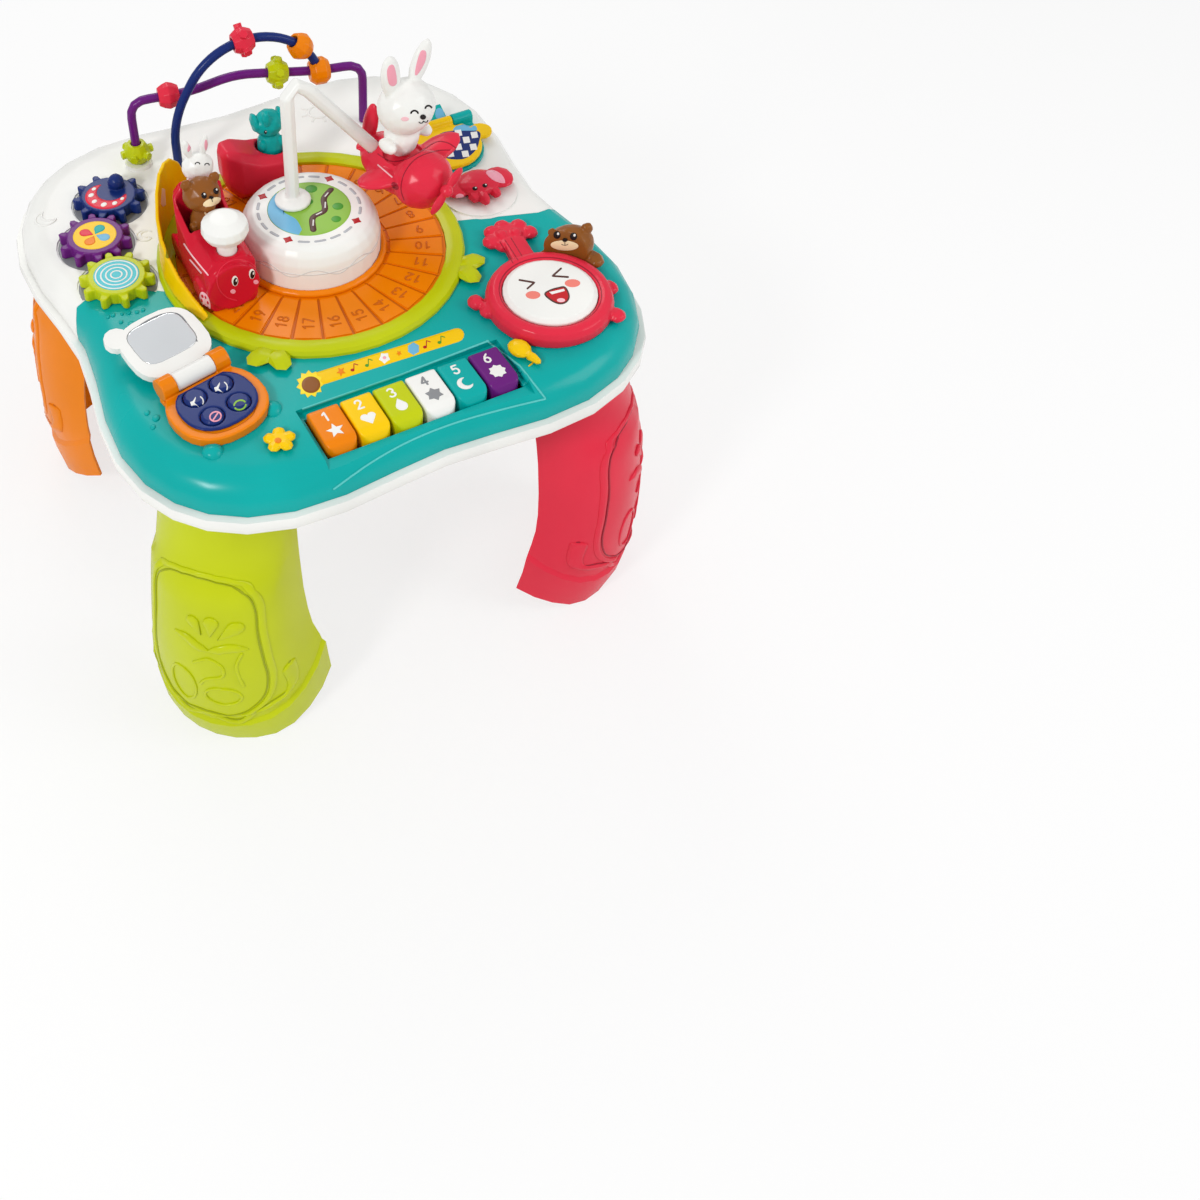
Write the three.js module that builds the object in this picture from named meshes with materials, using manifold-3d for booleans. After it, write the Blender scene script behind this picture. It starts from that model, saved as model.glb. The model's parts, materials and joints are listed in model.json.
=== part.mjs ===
// Musical activity table: a play table on four legs with keys, a drum, a phone and gears,
// and with a carousel and bead wires above it
import * as THREE from "three";
import { mergeVertices } from "three/addons/utils/BufferGeometryUtils.js";
import Module from "manifold-3d";

const wasm = await Module();
wasm.setup();

// Lengths are in millimetres, +Z is up, +Y is the back of the table, and the floor is at zero.
// A table of shares holds fractions of the named size that its piece follows.

// Overall sizes and clearances
const tableHeight = 320;
const waistHalfWidth = 209;
const waistHalfDepth = 223;
const cornerReach = 272;
const outlineShift = 8;
const fit = 0.3;
const runningGap = 0.6;
const overrun = 1;
const mergeTolerance = 0.0001;

// Shells
const shellWall = 3;
const shellDepth = 28;
const edgeRound = 27;
const shoulderDrop = 20;
const shellHole = 10;
const seamLeft = 26;
const seamRight = 42;
const wellDepth = 1.5;
const wellMargin = 2.5;

// Base tray and rim
const rimProud = 7;
const rimHeight = 12;
const trayDepth = 62;
const trayInset = 10;
const trayTaper = 8;
const trayWall = 3;
const socketGap = 2.5;
const spindleRadius = 6;
const spindleReach = 30;

// Parts inside the tray
const doorHalfWidth = 45;
const doorFront = 20;
const doorRear = 82;
const doorGap = 0.4;
const holderWall = 3;
const holderHeight = 21;
const speakerRadius = 28;
const speakerHeight = 18;
const speakerY = -62;
const speakerHoleRadius = 3;
const speakerHoleRing = 14;
const speakerHoleCount = 6;
const boardHalfWidth = 55;
const boardFront = -150;
const boardRear = -100;
const boardThickness = 1.6;
const boardLift = 9;
const postRadius = 4;
const switchX = 110;
const switchSlot = 12;
const switchSlotWidth = 6;
const switchPlate = 20;
const switchPlateThickness = 2;

// Legs
const legCentreReach = 212;
const legRadiusTop = 52;
const legRadiusMiddle = 65;
const legRadiusFoot = 76;
const legBulge = 18;
const legWrapShare = 0.2;
const legWall = 3.2;
const legTipRise = 32;
const shoeProud = 3;
const frameProud = 3.2;
const tongueWidth = 36;
const tongueThickness = 6;
const tongueHeight = 8;

// Track
const ringOuter = 128;
const ringInner = 112.5;
const ringHeight = 7.5;
const leafLength = 25;
const plateInner = 52;
const plateThickness = 3;
const wedgeCount = 28;
const wedgeInner = 66;
const wedgeOuter = 109.5;
const wedgeRise = 1.2;
const wedgeWidthShare = 0.85;

// Yellow wall on the track ring
const wallRadius = 125;
const wallThickness = 3;
const wallHeight = 64;
const wallLean = 5;

// Carousel hub
const hubRadius = 58;
const hubTopRadius = 46;
const hubHeight = 44;
const collarOuter = 63;
const collarHeight = 5;
const capThickness = 12;

// Train, boat and their riders
const trainLength = 100;
const trainX = -84;
const trainFaceRadius = 22;
const trainWheelRadius = 12;
const chimneyStem = 8;
const chimneyHeight = 36;
const bearSize = 16;
const trainRabbitSize = 13.5;
const boatLength = 66;
const boatX = -9;
const boatY = 90;
const elephantSize = 13;

// Arm and plane
const armRadius = 6;
const armX = -8;
const armY = 14;
const armRise = 108;
const armReach = 77.5;
const armSide = 3.2;
const armDrop = 85;
const armFoot = 15;
const armFootHeight = 6;
const planeLength = 100;
const planeX = 84;
const planeY = -8;
const planeRise = 62;
const planeTurn = 14;
const propellerRadius = 22;
const propellerTurn = 45;
const pilotSize = 24;

// Piano
const keyCount = 6;
const keyPitch = 27.3;
const keyWidth = 25.5;
const keyRear = 168;
const keyFront = 210.4;
const keyProud = 3;
const keyDrop = 19;
const keyRound = 8;
const keyCornerShare = 0.32;
const bayHalfWidth = 86;
const bayRear = 161;
const bayDepth = 5;
const railDrop = 20;
const railDepth = 3.6;

// Gears
const gearTeeth = 10;
const gearPitchRadius = 27.3;
const gearDedendum = 3.9;
const gearAddendum = 3.7;
const toothRootWidth = 8.4;
const toothTipWidth = 5.4;
const gearThickness = 11;
const gearPinRadius = 5;
const gearKnobRadius = 7.5;
const gearBackX = -130;
const gearFrontX = -158;
const gearFrontY = 31.526;

// Drum and its bear
const drumX = 143.5;
const drumY = -144.5;
const drumOuter = 51.5;
const drumHeight = 15;
const drumPadRadius = 38;
const drumFloor = 4;
const drumTravel = 2;
const drumBearX = 183;
const drumBearY = -107;
const drumBearSize = 20;

// Phone
const phoneX = -137;
const phoneY = -133.8;
const phoneTurn = 12;
const phoneHalfWidth = 38;
const phoneHalfLength = 35;
const phoneThickness = 8;
const keypadInset = 7.5;
const keypadThickness = 2.1;
const buttonRadius = 8.8;
const buttonSpread = 23.5;
const buttonHeight = 7.6;
const buttonTravel = 1.6;
const phoneHingeY = 33;
const phoneHingeZ = 12;
const knuckleRadius = 9;
const barrelRadius = 7.5;
const barrelHalf = 17;
const coverHalfWidth = 33;
const coverLength = 66;
const coverThickness = 6.4;
const coverTilt = 10;
const coverEar = 10;
const mirrorDepth = 2;

// Book
const bookX = 162;
const bookY = 71;
const bookRadius = 37;
const bookBase = 4;
const pageThickness = 3.8;
const bookHingeZ = 9;
const bookBarrel = 5;
const bookBarrelHalf = 22;
const bookHingeY = 26;
const bookCheekOut = 42;

// Lights, elephant button and bumps beside the phone
const flowerX = -109;
const flowerY = -185;
const flowerRadius = 12.5;
const balloonGap = 14.1;
const balloonX = (keyCount * keyPitch) / 2 + balloonGap;
const balloonY = -188;
const balloonLength = 32;
const elephantX = 162;
const elephantY = 5;
const elephantPlateRadius = 33.5;
const elephantPlateRise = 1.5;
const elephantFace = 18;
const elephantTravel = 2;
const stemRadius = 10;
const bumpRadius = 8;

// Bead wires
const wireRadius = 4.2;
const wireBossRadius = 12;
const wireBossHeight = 4;
const wireBend = 16;
const purpleLeftX = -89;
const purpleLeftY = 174;
const purpleRightX = 115;
const purpleRightY = 138;
const blueLeftX = -60;
const blueLeftY = 150;
const lowRun = 65;
const lowRunEnd = -38;
const highRun = 75;
const highRunStart = 2;
const jointX = 76;
const jointRise = 65;
const arcX = 14;
const arcRise = 48;
const arcRadius = 64.5;
const arcStart = 150;
const arcEnd = 24;
const beadRadius = 12;
const beadHalf = 9;
const beadGap = 0.5;
const curvedBeadGap = 1.2;

// Heights that follow from the sizes
const top = tableHeight;
const shellBottom = top - shellDepth;
const rimTop = shellBottom - fit;
const rimBottom = rimTop - rimHeight;
const legTop = rimBottom - fit;
const trayBottom = top - trayDepth;
const trayFloor = trayBottom + trayWall;
const gearRootRadius = gearPitchRadius - gearDedendum;
const gearTipRadius = gearPitchRadius + gearAddendum;
const trackTop = top + plateThickness + wedgeRise;
const rideFloor = trackTop + fit;
const far = 2 * cornerReach;

const teal = 0x12b0aa;
const white = 0xf1f1ee;
const green = 0xb9c71e;
const red = 0xdf3348;
const orange = 0xf08a1c;
const yellow = 0xf7cc14;
const purple = 0x7a3085;
const navy = 0x26407d;
const brown = 0x9a6330;
const grey = 0x9da2a6;

const group = new THREE.Group();

// Building blocks

function solidFrom(geometry) {
  const bare = geometry.clone();
  bare.deleteAttribute("normal");
  bare.deleteAttribute("uv");
  const merged = mergeVertices(bare, mergeTolerance);
  const index = merged.index.array;
  const kept = [];
  for (let i = 0; i < index.length; i += 3) {
    const [a, b, c] = index.slice(i, i + 3);
    if (a !== b && b !== c && a !== c) kept.push(a, b, c);
  }
  return new wasm.Manifold(new wasm.Mesh({
    numProp: 3,
    vertProperties: Float32Array.from(merged.attributes.position.array),
    triVerts: Uint32Array.from(kept),
  }));
}

// A closed solid from points and faces, turned right side out
function solidOf(points, faces) {
  let volume = 0;
  for (let i = 0; i < faces.length; i += 3) {
    volume += points[faces[i]].dot(points[faces[i + 1]].clone().cross(points[faces[i + 2]]));
  }
  const geometry = new THREE.BufferGeometry();
  geometry.setAttribute("position", new THREE.Float32BufferAttribute(points.flatMap((p) => p.toArray()), 3));
  geometry.setIndex(volume < 0 ? faces.slice().reverse() : faces);
  return solidFrom(geometry);
}

function geometryOf(solid) {
  const mesh = solid.getMesh();
  const geometry = new THREE.BufferGeometry();
  geometry.setAttribute("position", new THREE.Float32BufferAttribute(mesh.vertProperties, 3));
  geometry.setIndex(new THREE.Uint32BufferAttribute(mesh.triVerts, 1));
  geometry.computeVertexNormals();
  return geometry;
}

function piece(name, solid, colour, roughness = 0.35) {
  const material = new THREE.MeshStandardMaterial({ color: colour, roughness, metalness: 0 });
  const mesh = new THREE.Mesh(geometryOf(moved(solid, -outlineShift, 0)), material);
  mesh.name = name;
  group.add(mesh);
}

function joined(...solids) {
  return solids.flat().reduce((whole, next) => whole.add(next));
}

function moved(solid, x, y, z = 0) {
  return solid.translate([x, y, z]);
}

function turnedAbout(solid, degrees) {
  return solid.rotate([0, 0, degrees]);
}

function vector(x, y, z) {
  return new THREE.Vector3(x, y, z);
}

// Every number of a nested table of shares times one size
function scaled(shares, size) {
  return shares.map((share) => (Array.isArray(share) ? scaled(share, size) : share * size));
}

// A box between two corners
function block(x0, x1, y0, y1, z0, z1) {
  const geometry = new THREE.BoxGeometry(x1 - x0, y1 - y0, z1 - z0);
  geometry.translate((x0 + x1) / 2, (y0 + y1) / 2, (z0 + z1) / 2);
  return solidFrom(geometry);
}

// A profile of [radius, height] pairs turned about the vertical axis
function lathe(profile, segments) {
  const geometry = new THREE.LatheGeometry(profile.map(([r, z]) => new THREE.Vector2(r, z)), segments);
  geometry.rotateX(Math.PI / 2);
  const position = geometry.attributes.position;
  const points = Array.from({ length: position.count }, (_, i) => {
    return vector(0, 0, 0).fromBufferAttribute(position, i);
  });
  return solidOf(points, Array.from(geometry.index.array));
}

function disc(radius, z0, z1, segments) {
  return lathe([[0, z0], [radius, z0], [radius, z1], [0, z1]], segments);
}

// A round bar lying along X
function crossBar(radius, x0, x1, segments) {
  return disc(radius, x0, x1, segments).rotate([0, 90, 0]);
}

// A plan outline raised between two heights
function prism(outline, z0, z1) {
  const shape = new THREE.Shape(outline.map(([x, y]) => new THREE.Vector2(x, y)));
  const geometry = new THREE.ExtrudeGeometry(shape, { depth: z1 - z0, bevelEnabled: false });
  geometry.translate(0, 0, z0);
  return solidFrom(geometry);
}

// An oval outline, squarer as its power rises above two
function oval(halfWidth, halfLength, steps, power = 2) {
  const bend = (value) => Math.sign(value) * Math.abs(value) ** (2 / power);
  return Array.from({ length: steps }, (_, i) => {
    const angle = (2 * Math.PI * i) / steps;
    return [halfWidth * bend(Math.cos(angle)), halfLength * bend(Math.sin(angle))];
  });
}

// An ellipsoid, with more faces as its detail rises from zero
function ball(rx, ry, rz, detail = 1) {
  const geometry = detail > 0 ? new THREE.IcosahedronGeometry(1, detail) : new THREE.SphereGeometry(1, 6, 4);
  geometry.scale(rx, ry, rz);
  return solidFrom(geometry);
}

// Joined ellipsoids: each row has a centre and three radii as shares of one size, a tilt and a detail level
function blobs(rowShares, size) {
  return joined(rowShares.map(([x, y, z, rx, ry, rz, tilt = 0, detail = 0]) => {
    const solid = ball(rx * size, ry * size, rz * size, detail).rotate([0, tilt, 0]);
    return moved(solid, x * size, y * size, z * size);
  }));
}

// The rows given, and the same rows mirrored to the other side
function bothSides(rows) {
  return rows.flatMap(([x, y, z, rx, ry, rz, tilt = 0, detail = 0]) => [
    [x, y, z, rx, ry, rz, tilt, detail],
    [-x, y, z, rx, ry, rz, -tilt, detail],
  ]);
}

// A round bar along a path
function bar(path, radius, steps) {
  const section = new THREE.Shape(oval(radius, radius, 8).map(([x, y]) => new THREE.Vector2(x, y)));
  return solidFrom(new THREE.ExtrudeGeometry(section, { steps, extrudePath: path, bevelEnabled: false }));
}

// Straight runs joined by bends of one radius
function bentPath(corners, radius) {
  const path = new THREE.CurvePath();
  const towards = (from, to) => from.clone().addScaledVector(to.clone().sub(from).normalize(), radius);
  let from = corners[0];
  for (let i = 1; i + 1 < corners.length; i++) {
    const entry = towards(corners[i], corners[i - 1]);
    const exit = towards(corners[i], corners[i + 1]);
    path.add(new THREE.LineCurve3(from, entry));
    path.add(new THREE.QuadraticBezierCurve3(entry, corners[i], exit));
    from = exit;
  }
  path.add(new THREE.LineCurve3(from, corners.at(-1)));
  return path;
}

// A solid lofted through rings of points and closed at both ends
function loft(rings) {
  const count = rings[0].length;
  const points = rings.flat();
  const faces = [];
  for (let level = 0; level + 1 < rings.length; level++) {
    for (let i = 0; i < count; i++) {
      const a = level * count + i;
      const b = level * count + ((i + 1) % count);
      faces.push(a, b, b + count, a, b + count, a + count);
    }
  }
  const close = (ring, first, flip) => {
    const middle = points.push(ring.reduce((sum, p) => sum.add(p), vector(0, 0, 0)).divideScalar(count)) - 1;
    for (let i = 0; i < count; i++) {
      const a = first + i;
      const b = first + ((i + 1) % count);
      faces.push(middle, flip ? b : a, flip ? a : b);
    }
  };
  close(rings[0], 0, true);
  close(rings.at(-1), (rings.length - 1) * count, false);
  return solidOf(points, faces);
}

// A curved sheet between two grids of points of the same size
function sheet(outer, inner) {
  const rows = outer.length;
  const columns = outer[0].length;
  const points = [...outer.flat(), ...inner.flat()];
  const half = rows * columns;
  const faces = [];
  const quad = (a, b, c, d) => faces.push(a, b, c, a, c, d);
  for (let v = 0; v + 1 < rows; v++) {
    for (let u = 0; u + 1 < columns; u++) {
      const a = v * columns + u;
      quad(a, a + 1, a + columns + 1, a + columns);
      quad(half + a, half + a + columns, half + a + columns + 1, half + a + 1);
    }
    const first = v * columns;
    const last = first + columns - 1;
    quad(first, first + columns, half + first + columns, half + first);
    quad(last, half + last, half + last + columns, last + columns);
  }
  for (let u = 0; u + 1 < columns; u++) {
    const a = (rows - 1) * columns + u;
    quad(u, half + u, half + u + 1, u + 1);
    quad(a, a + 1, half + a + 1, half + a);
  }
  return solidOf(points, faces);
}

// Table outline with four lobes at its corners

const outlineSteps = 44;
const cornerGather = 0.3;

function outlineRing(inset, z) {
  const waist = (waistHalfWidth + waistHalfDepth) / 2;
  const mean = (waist + cornerReach) / 2;
  return Array.from({ length: outlineSteps }, (_, i) => {
    const even = (2 * Math.PI * i) / outlineSteps;
    const angle = even + (cornerGather / 4) * Math.sin(4 * even);
    const skew = ((waistHalfWidth - waistHalfDepth) / 2) * Math.cos(2 * angle);
    const reach = mean + skew + (waist - mean) * Math.cos(4 * angle) - inset;
    return vector(outlineShift + reach * Math.cos(angle), reach * Math.sin(angle), z);
  });
}

function outlineLoft(levels) {
  return loft(levels.map(([inset, z]) => outlineRing(inset, z)));
}

// Legs: curved sheets that wrap round the corners and plug into the rim

const legs = [
  ["leg_front_left", -1, -1, green],
  ["leg_front_right", 1, -1, red],
  ["leg_rear_left", -1, 1, orange],
  ["leg_rear_right", 1, 1, yellow],
];
const legColumns = 14;
const legRowShares = [0, 0.06, 0.105, 0.12, 0.165, 0.18, 0.3, 0.42, 0.54, 0.66, 0.73, 0.75, 0.84, 0.92, 1];
const shoeTopShare = 0.11;
const shoeWaveShare = 0.12;
const frameSpanShares = [0.17, 0.74];
const frameWidthShare = 0.7;
const legTipReach = legRadiusTop * Math.sin((Math.PI / 2) * legWrapShare);
const tongueReach = legRadiusTop - legWall - tongueThickness;

function placedAtLeg(solid, side, end) {
  const reach = legCentreReach / Math.SQRT2;
  const degrees = (Math.atan2(end, side) * 180) / Math.PI;
  return moved(turnedAbout(solid, degrees), outlineShift + side * reach, end * reach);
}

// The tongue that plugs a leg into the rim, or its slot when grown by a clearance
function legTongue(grow) {
  return block(
    tongueReach - grow, tongueReach + tongueThickness + overrun + grow,
    -tongueWidth / 2 - grow, tongueWidth / 2 + grow,
    legTop - tongueHeight, rimBottom + trayWall + grow,
  );
}

// How a leg stands out at a share of its height, and across from -1 to 1 round its face
function legPoint(share, across, inset) {
  const rise = Math.min(1, (share * legTop) / trayBottom);
  const neck = (legRadiusMiddle - legRadiusTop) * Math.min(1, 1.8 * (1 - rise));
  const foot = (legRadiusFoot - legRadiusMiddle) * THREE.MathUtils.smoothstep(1 - rise, 0.5, 1);
  const shoe = share < shoeTopShare ? shoeProud : 0;
  const framed = share > frameSpanShares[0] && share < frameSpanShares[1];
  const onFrame = framed && Math.abs(across) < frameWidthShare;
  const radius = legRadiusTop + neck + foot + shoe + (onFrame ? frameProud : 0) - inset;
  const angle = ((across * Math.PI) / 2) * (1 + legWrapShare * rise);
  const bulge = legBulge * Math.max(0, Math.sin(Math.PI * rise)) ** 0.75;
  const fade = Math.min(1, share / shoeTopShare, Math.max(0, (0.5 - share) * 3));
  const wave = shoeWaveShare * across ** 2 * fade;
  const lift = legTipRise * Math.max(0, 2 * Math.abs(across) - 1) * (1 - share) ** 6;
  return vector(bulge + radius * Math.cos(angle), radius * Math.sin(angle), (share + wave) * legTop + lift);
}

function leg(name, side, end, colour) {
  const rowsAt = (inset) => legRowShares.map((share) => Array.from({ length: legColumns + 1 }, (_, i) => {
    return legPoint(share, (2 * i) / legColumns - 1, inset);
  }));
  const wall = sheet(rowsAt(0), rowsAt(legWall));
  piece(name, placedAtLeg(joined(wall, legTongue(0)), side, end), colour);
}

// The column at a corner that a leg fills, out from the leg's own centre
function legSocket(grow) {
  const radius = legRadiusTop + socketGap + grow;
  const column = disc(radius, trayBottom - overrun, rimBottom + grow, 18);
  const inward = block(-far, -legTipReach - socketGap - grow, -far, far, trayBottom - far, top);
  return column.subtract(inward);
}

// Base tray with its proud rim, leg sockets and spindle

function baseTray() {
  let body = outlineLoft([
    [trayInset + trayTaper, trayBottom],
    [trayInset, rimBottom],
    [shellWall / 3 - rimProud, rimBottom],
    [-rimProud, rimBottom + rimHeight / 4],
    [-rimProud, rimTop - rimHeight / 4],
    [shellWall / 3 - rimProud, rimTop],
  ]);
  let cavity = outlineLoft([
    [trayInset + trayTaper + trayWall, trayFloor],
    [trayInset + 2 * trayWall, rimBottom],
    [trayInset, rimTop + overrun],
  ]);
  for (const [, side, end] of legs) {
    body = body.subtract(placedAtLeg(legSocket(0), side, end));
    cavity = cavity.subtract(placedAtLeg(legSocket(trayWall), side, end));
  }
  let tray = body.subtract(cavity);
  for (const [, side, end] of legs) tray = tray.subtract(placedAtLeg(legTongue(fit), side, end));
  const under = trayBottom - overrun;
  const over = trayFloor + overrun;
  tray = tray.subtract(block(-doorHalfWidth, doorHalfWidth, doorFront, doorRear, under, over));
  for (let i = 0; i < speakerHoleCount; i++) {
    const hole = moved(disc(speakerHoleRadius, under, over, 8), speakerHoleRing, 0);
    tray = tray.subtract(moved(turnedAbout(hole, (360 * i) / speakerHoleCount), 0, speakerY));
  }
  const slot = switchSlotWidth / 2;
  tray = tray.subtract(block(switchX, switchX + switchSlot, -slot, slot, under, over));
  const spindle = lathe([
    [0, trayFloor - overrun], [spindleRadius * 2, trayFloor - overrun],
    [spindleRadius * 2, trayFloor + boardLift],
    [spindleRadius, trayFloor + boardLift * 2], [spindleRadius, top + spindleReach], [0, top + spindleReach],
  ], 16);
  const posts = [-1, 1].map((side) => {
    const post = disc(postRadius, trayFloor - overrun, trayFloor + boardLift - fit, 8);
    return moved(post, side * (boardHalfWidth - 2 * postRadius), (boardFront + boardRear) / 2);
  });
  piece("base_tray", joined(tray, spindle, posts), white);
}

function innards() {
  const seat = trayFloor + fit;
  const inset = doorHalfWidth - doorGap;
  const door = block(
    -inset, inset, doorFront + doorGap, doorRear - doorGap, trayBottom, trayFloor - doorGap,
  );
  piece("battery_door", door, white);

  const x = doorHalfWidth + holderWall;
  const front = doorFront - holderWall;
  const rear = doorRear + holderWall;
  const bay = (rear - front - 4 * holderWall) / 3;
  const ceiling = seat + holderHeight - holderWall;
  let holder = block(-x, x, front, rear, seat, seat + holderHeight);
  for (let i = 0; i < 3; i++) {
    const y = front + holderWall + i * (bay + holderWall);
    holder = holder.subtract(block(holderWall - x, x - holderWall, y, y + bay, seat - overrun, ceiling));
  }
  piece("battery_holder", holder, grey);

  const speaker = lathe([
    [0, seat], [speakerRadius, seat], [speakerRadius, seat + speakerHeight / 4],
    [speakerRadius / 2, seat + speakerHeight / 2],
    [speakerRadius / 2, seat + speakerHeight], [0, seat + speakerHeight],
  ], 20);
  piece("speaker", moved(speaker, 0, speakerY), grey, 0.5);

  const boardZ = trayFloor + boardLift;
  const board = block(
    -boardHalfWidth, boardHalfWidth, boardFront, boardRear, boardZ, boardZ + boardThickness,
  );
  piece("circuit_board", board, green, 0.6);

  const knobX = switchX + fit;
  const knobHalf = switchSlotWidth / 2 - fit;
  const knob = block(knobX, knobX + 2 * knobHalf, -knobHalf, knobHalf, trayBottom, seat + overrun);
  const middle = knobX + knobHalf;
  const plate = block(
    middle - switchPlate / 2, middle + switchPlate / 2, -switchSlotWidth, switchSlotWidth,
    seat, seat + switchPlateThickness,
  );
  piece("power_switch", joined(knob, plate), grey);
}

// Top shells: teal in front of the seam and white behind it

const openingHalfWidth = (keyCount * keyPitch) / 2 + runningGap;
const gearCentres = gearPlaces();

function gearPlaces() {
  const step = 2 * gearPitchRadius;
  const gearMiddleY = gearFrontY + step;
  const gearBackY = gearMiddleY + Math.sqrt(step ** 2 - (gearFrontX - gearBackX) ** 2);
  return [
    ["gear_back", gearBackX, gearBackY, navy],
    ["gear_middle", gearFrontX, gearMiddleY, purple],
    ["gear_front", gearFrontX, gearFrontY, green],
  ];
}

// Everything in front of the seam, less a margin
function frontPlan(margin) {
  const seam = [
    [-far, -seamLeft], [-waistHalfWidth, 0],
    [-waistHalfWidth + seamLeft / 2, seamLeft], [-ringOuter - seamLeft, seamLeft],
    [-ringOuter, seamLeft / 4], [ringOuter, -seamRight / 2],
    [waistHalfWidth - seamRight / 3, -seamRight], [far, 0],
  ].map(([x, y]) => [x, y - margin]);
  const plan = prism([[far, -far], [-far, -far], ...seam].reverse(), rimBottom, top + overrun);
  const plate = disc(elephantPlateRadius + shellWall + margin, rimBottom - overrun, top + 2 * overrun, 28);
  return plan.subtract(moved(plate, elephantX, elephantY));
}

function shellBlank() {
  const outer = outlineLoft([
    [0, shellBottom], [0, top - shoulderDrop], [edgeRound / 9, top - shoulderDrop * 0.6],
    [edgeRound / 3, top - shoulderDrop / 4], [edgeRound * 0.6, top - shoulderDrop / 20], [edgeRound, top],
  ]);
  const cavity = outlineLoft([
    [shellWall, shellBottom - overrun], [shellWall, top - shoulderDrop],
    [edgeRound / 3 + shellWall, top - shoulderDrop / 4 - shellWall],
    [edgeRound + shellWall, top - shellWall],
  ]);
  const ledge = bayDepth + shellWall;
  const bayX = bayHalfWidth + shellWall;
  const bay = block(-bayX, bayX, -far, shellWall - bayRear, top - ledge, top).intersect(outer);
  let shell = joined(outer.subtract(cavity), bay);
  shell = shell.subtract(block(-bayHalfWidth, bayHalfWidth, -far, -bayRear, top - bayDepth, top + overrun));
  const hole = block(
    -openingHalfWidth, openingHalfWidth, -keyFront - runningGap,
    -keyRear, top - keyDrop - overrun, top + overrun,
  );
  const rail = block(
    -openingHalfWidth, openingHalfWidth, -bayRear,
    railDepth - bayRear, top - railDrop, top - ledge + overrun,
  );
  return joined(shell.subtract(hole), rail).subtract(disc(shellHole, rimBottom, top + overrun, 16));
}

function phoneBumps() {
  const places = [
    [phoneHalfWidth * 0.83, -phoneHalfLength * 0.7], [-phoneHalfWidth * 0.7, -phoneHalfLength * 0.92],
  ];
  return places.map(([x, y]) => {
    const bump = ball(bumpRadius, bumpRadius, bumpRadius * 0.6).subtract(phoneColumn(fit, x, y));
    return placedAtPhone(moved(bump, x, y));
  });
}

function topShells() {
  let shell = shellBlank();
  for (const [, x, y] of gearCentres) {
    const well = disc(gearTipRadius + wellMargin, top - wellDepth, top + overrun, 24);
    shell = shell.subtract(moved(well, x, y));
  }
  piece("top_shell_front", joined(shell.intersect(frontPlan(0)), phoneBumps()), teal);

  let rear = shell.subtract(frontPlan(-fit));
  for (const [, x, y] of gearCentres) {
    const pin = disc(gearPinRadius, top - shellWall / 2 - wellDepth, top + gearThickness * 0.7, 12);
    rear = joined(rear, moved(pin, x, y));
  }
  const plate = disc(elephantPlateRadius, top - overrun, top + elephantPlateRise, 28);
  const stemHole = disc(stemRadius + runningGap, rimBottom, top + 2 * elephantPlateRise, 16);
  const besideBook = moved(plate, elephantX, elephantY).subtract(
    moved(disc(bookRadius + fit, top, top + 2 * elephantPlateRise, 28), bookX, bookY));
  rear = joined(rear, besideBook).subtract(moved(stemHole, elephantX, elephantY));
  for (const [x, y] of [[purpleLeftX, purpleLeftY], [purpleRightX, purpleRightY], [blueLeftX, blueLeftY]]) {
    rear = joined(rear, moved(disc(wireBossRadius, top - overrun, top + wireBossHeight, 14), x, y));
  }
  const ringSeat = disc(ringOuter + fit, top, top + ringHeight, 44);
  piece("top_shell_rear", rear.subtract(ringSeat), white);
}

// Track: numbered plate, ring with leaves, and the yellow wall

function trackPlate() {
  const low = top + fit;
  const high = top + plateThickness;
  const base = tubeRing(plateInner, ringInner - fit, low, high, 40);
  const halfAngle = (Math.PI / wedgeCount) * wedgeWidthShare;
  const pads = Array.from({ length: wedgeCount }, (_, i) => {
    const middle = (2 * Math.PI * i) / wedgeCount;
    const corner = (radius, angle) => [radius * Math.cos(angle), radius * Math.sin(angle)];
    const corners = [
      corner(wedgeInner, middle - halfAngle), corner(wedgeOuter, middle - halfAngle),
      corner(wedgeOuter, middle + halfAngle), corner(wedgeInner, middle + halfAngle),
    ];
    return prism(corners, high - plateThickness / 2, high + wedgeRise);
  });
  piece("track_plate", joined(base, pads), orange);
}

function tubeRing(inner, outer, z0, z1, segments) {
  return lathe([[inner, z0], [outer, z0], [outer, z1], [inner, z1], [inner, z0]], segments);
}

function leafPair(degrees) {
  const leaves = [-1, 1].map((side) => {
    const leaf = ball(leafLength * 0.52, leafLength * 0.36, leafLength * 0.17, 0);
    const splayed = moved(leaf, leafLength * 0.28, 0).rotate([0, 0, side * 38]);
    return moved(splayed, ringOuter, side * leafLength * 0.12, top + leafLength * 0.17);
  });
  const under = disc(far, top - far, top + fit, 8);
  const inside = disc(ringInner + wellMargin, top, top + ringHeight * 2, 32);
  return turnedAbout(joined(leaves), degrees).subtract(under).subtract(inside);
}

function trackRing() {
  const low = top + fit;
  const band = ringOuter - ringInner;
  const ring = lathe([
    [ringInner, low], [ringOuter, low], [ringOuter, top + ringHeight * 0.4],
    [ringOuter - band / 8, top + ringHeight * 0.8], [ringOuter - band * 0.45, top + ringHeight],
    [ringInner, top + ringHeight * 0.7], [ringInner, low],
  ], 40);
  piece("track_ring", joined(ring, leafPair(232), leafPair(-38)), green);
}

const wallAngles = [124, 128, 133, 138, 144, 150, 157, 165, 174, 184, 194, 203];
const wallHeightShares = [0.47, 0.78, 0.95, 1, 0.97, 0.83, 0.64, 0.5, 0.42, 0.36, 0.28, 0.14];
const wallRowShares = [0, 0.35, 0.7, 1];

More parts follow.
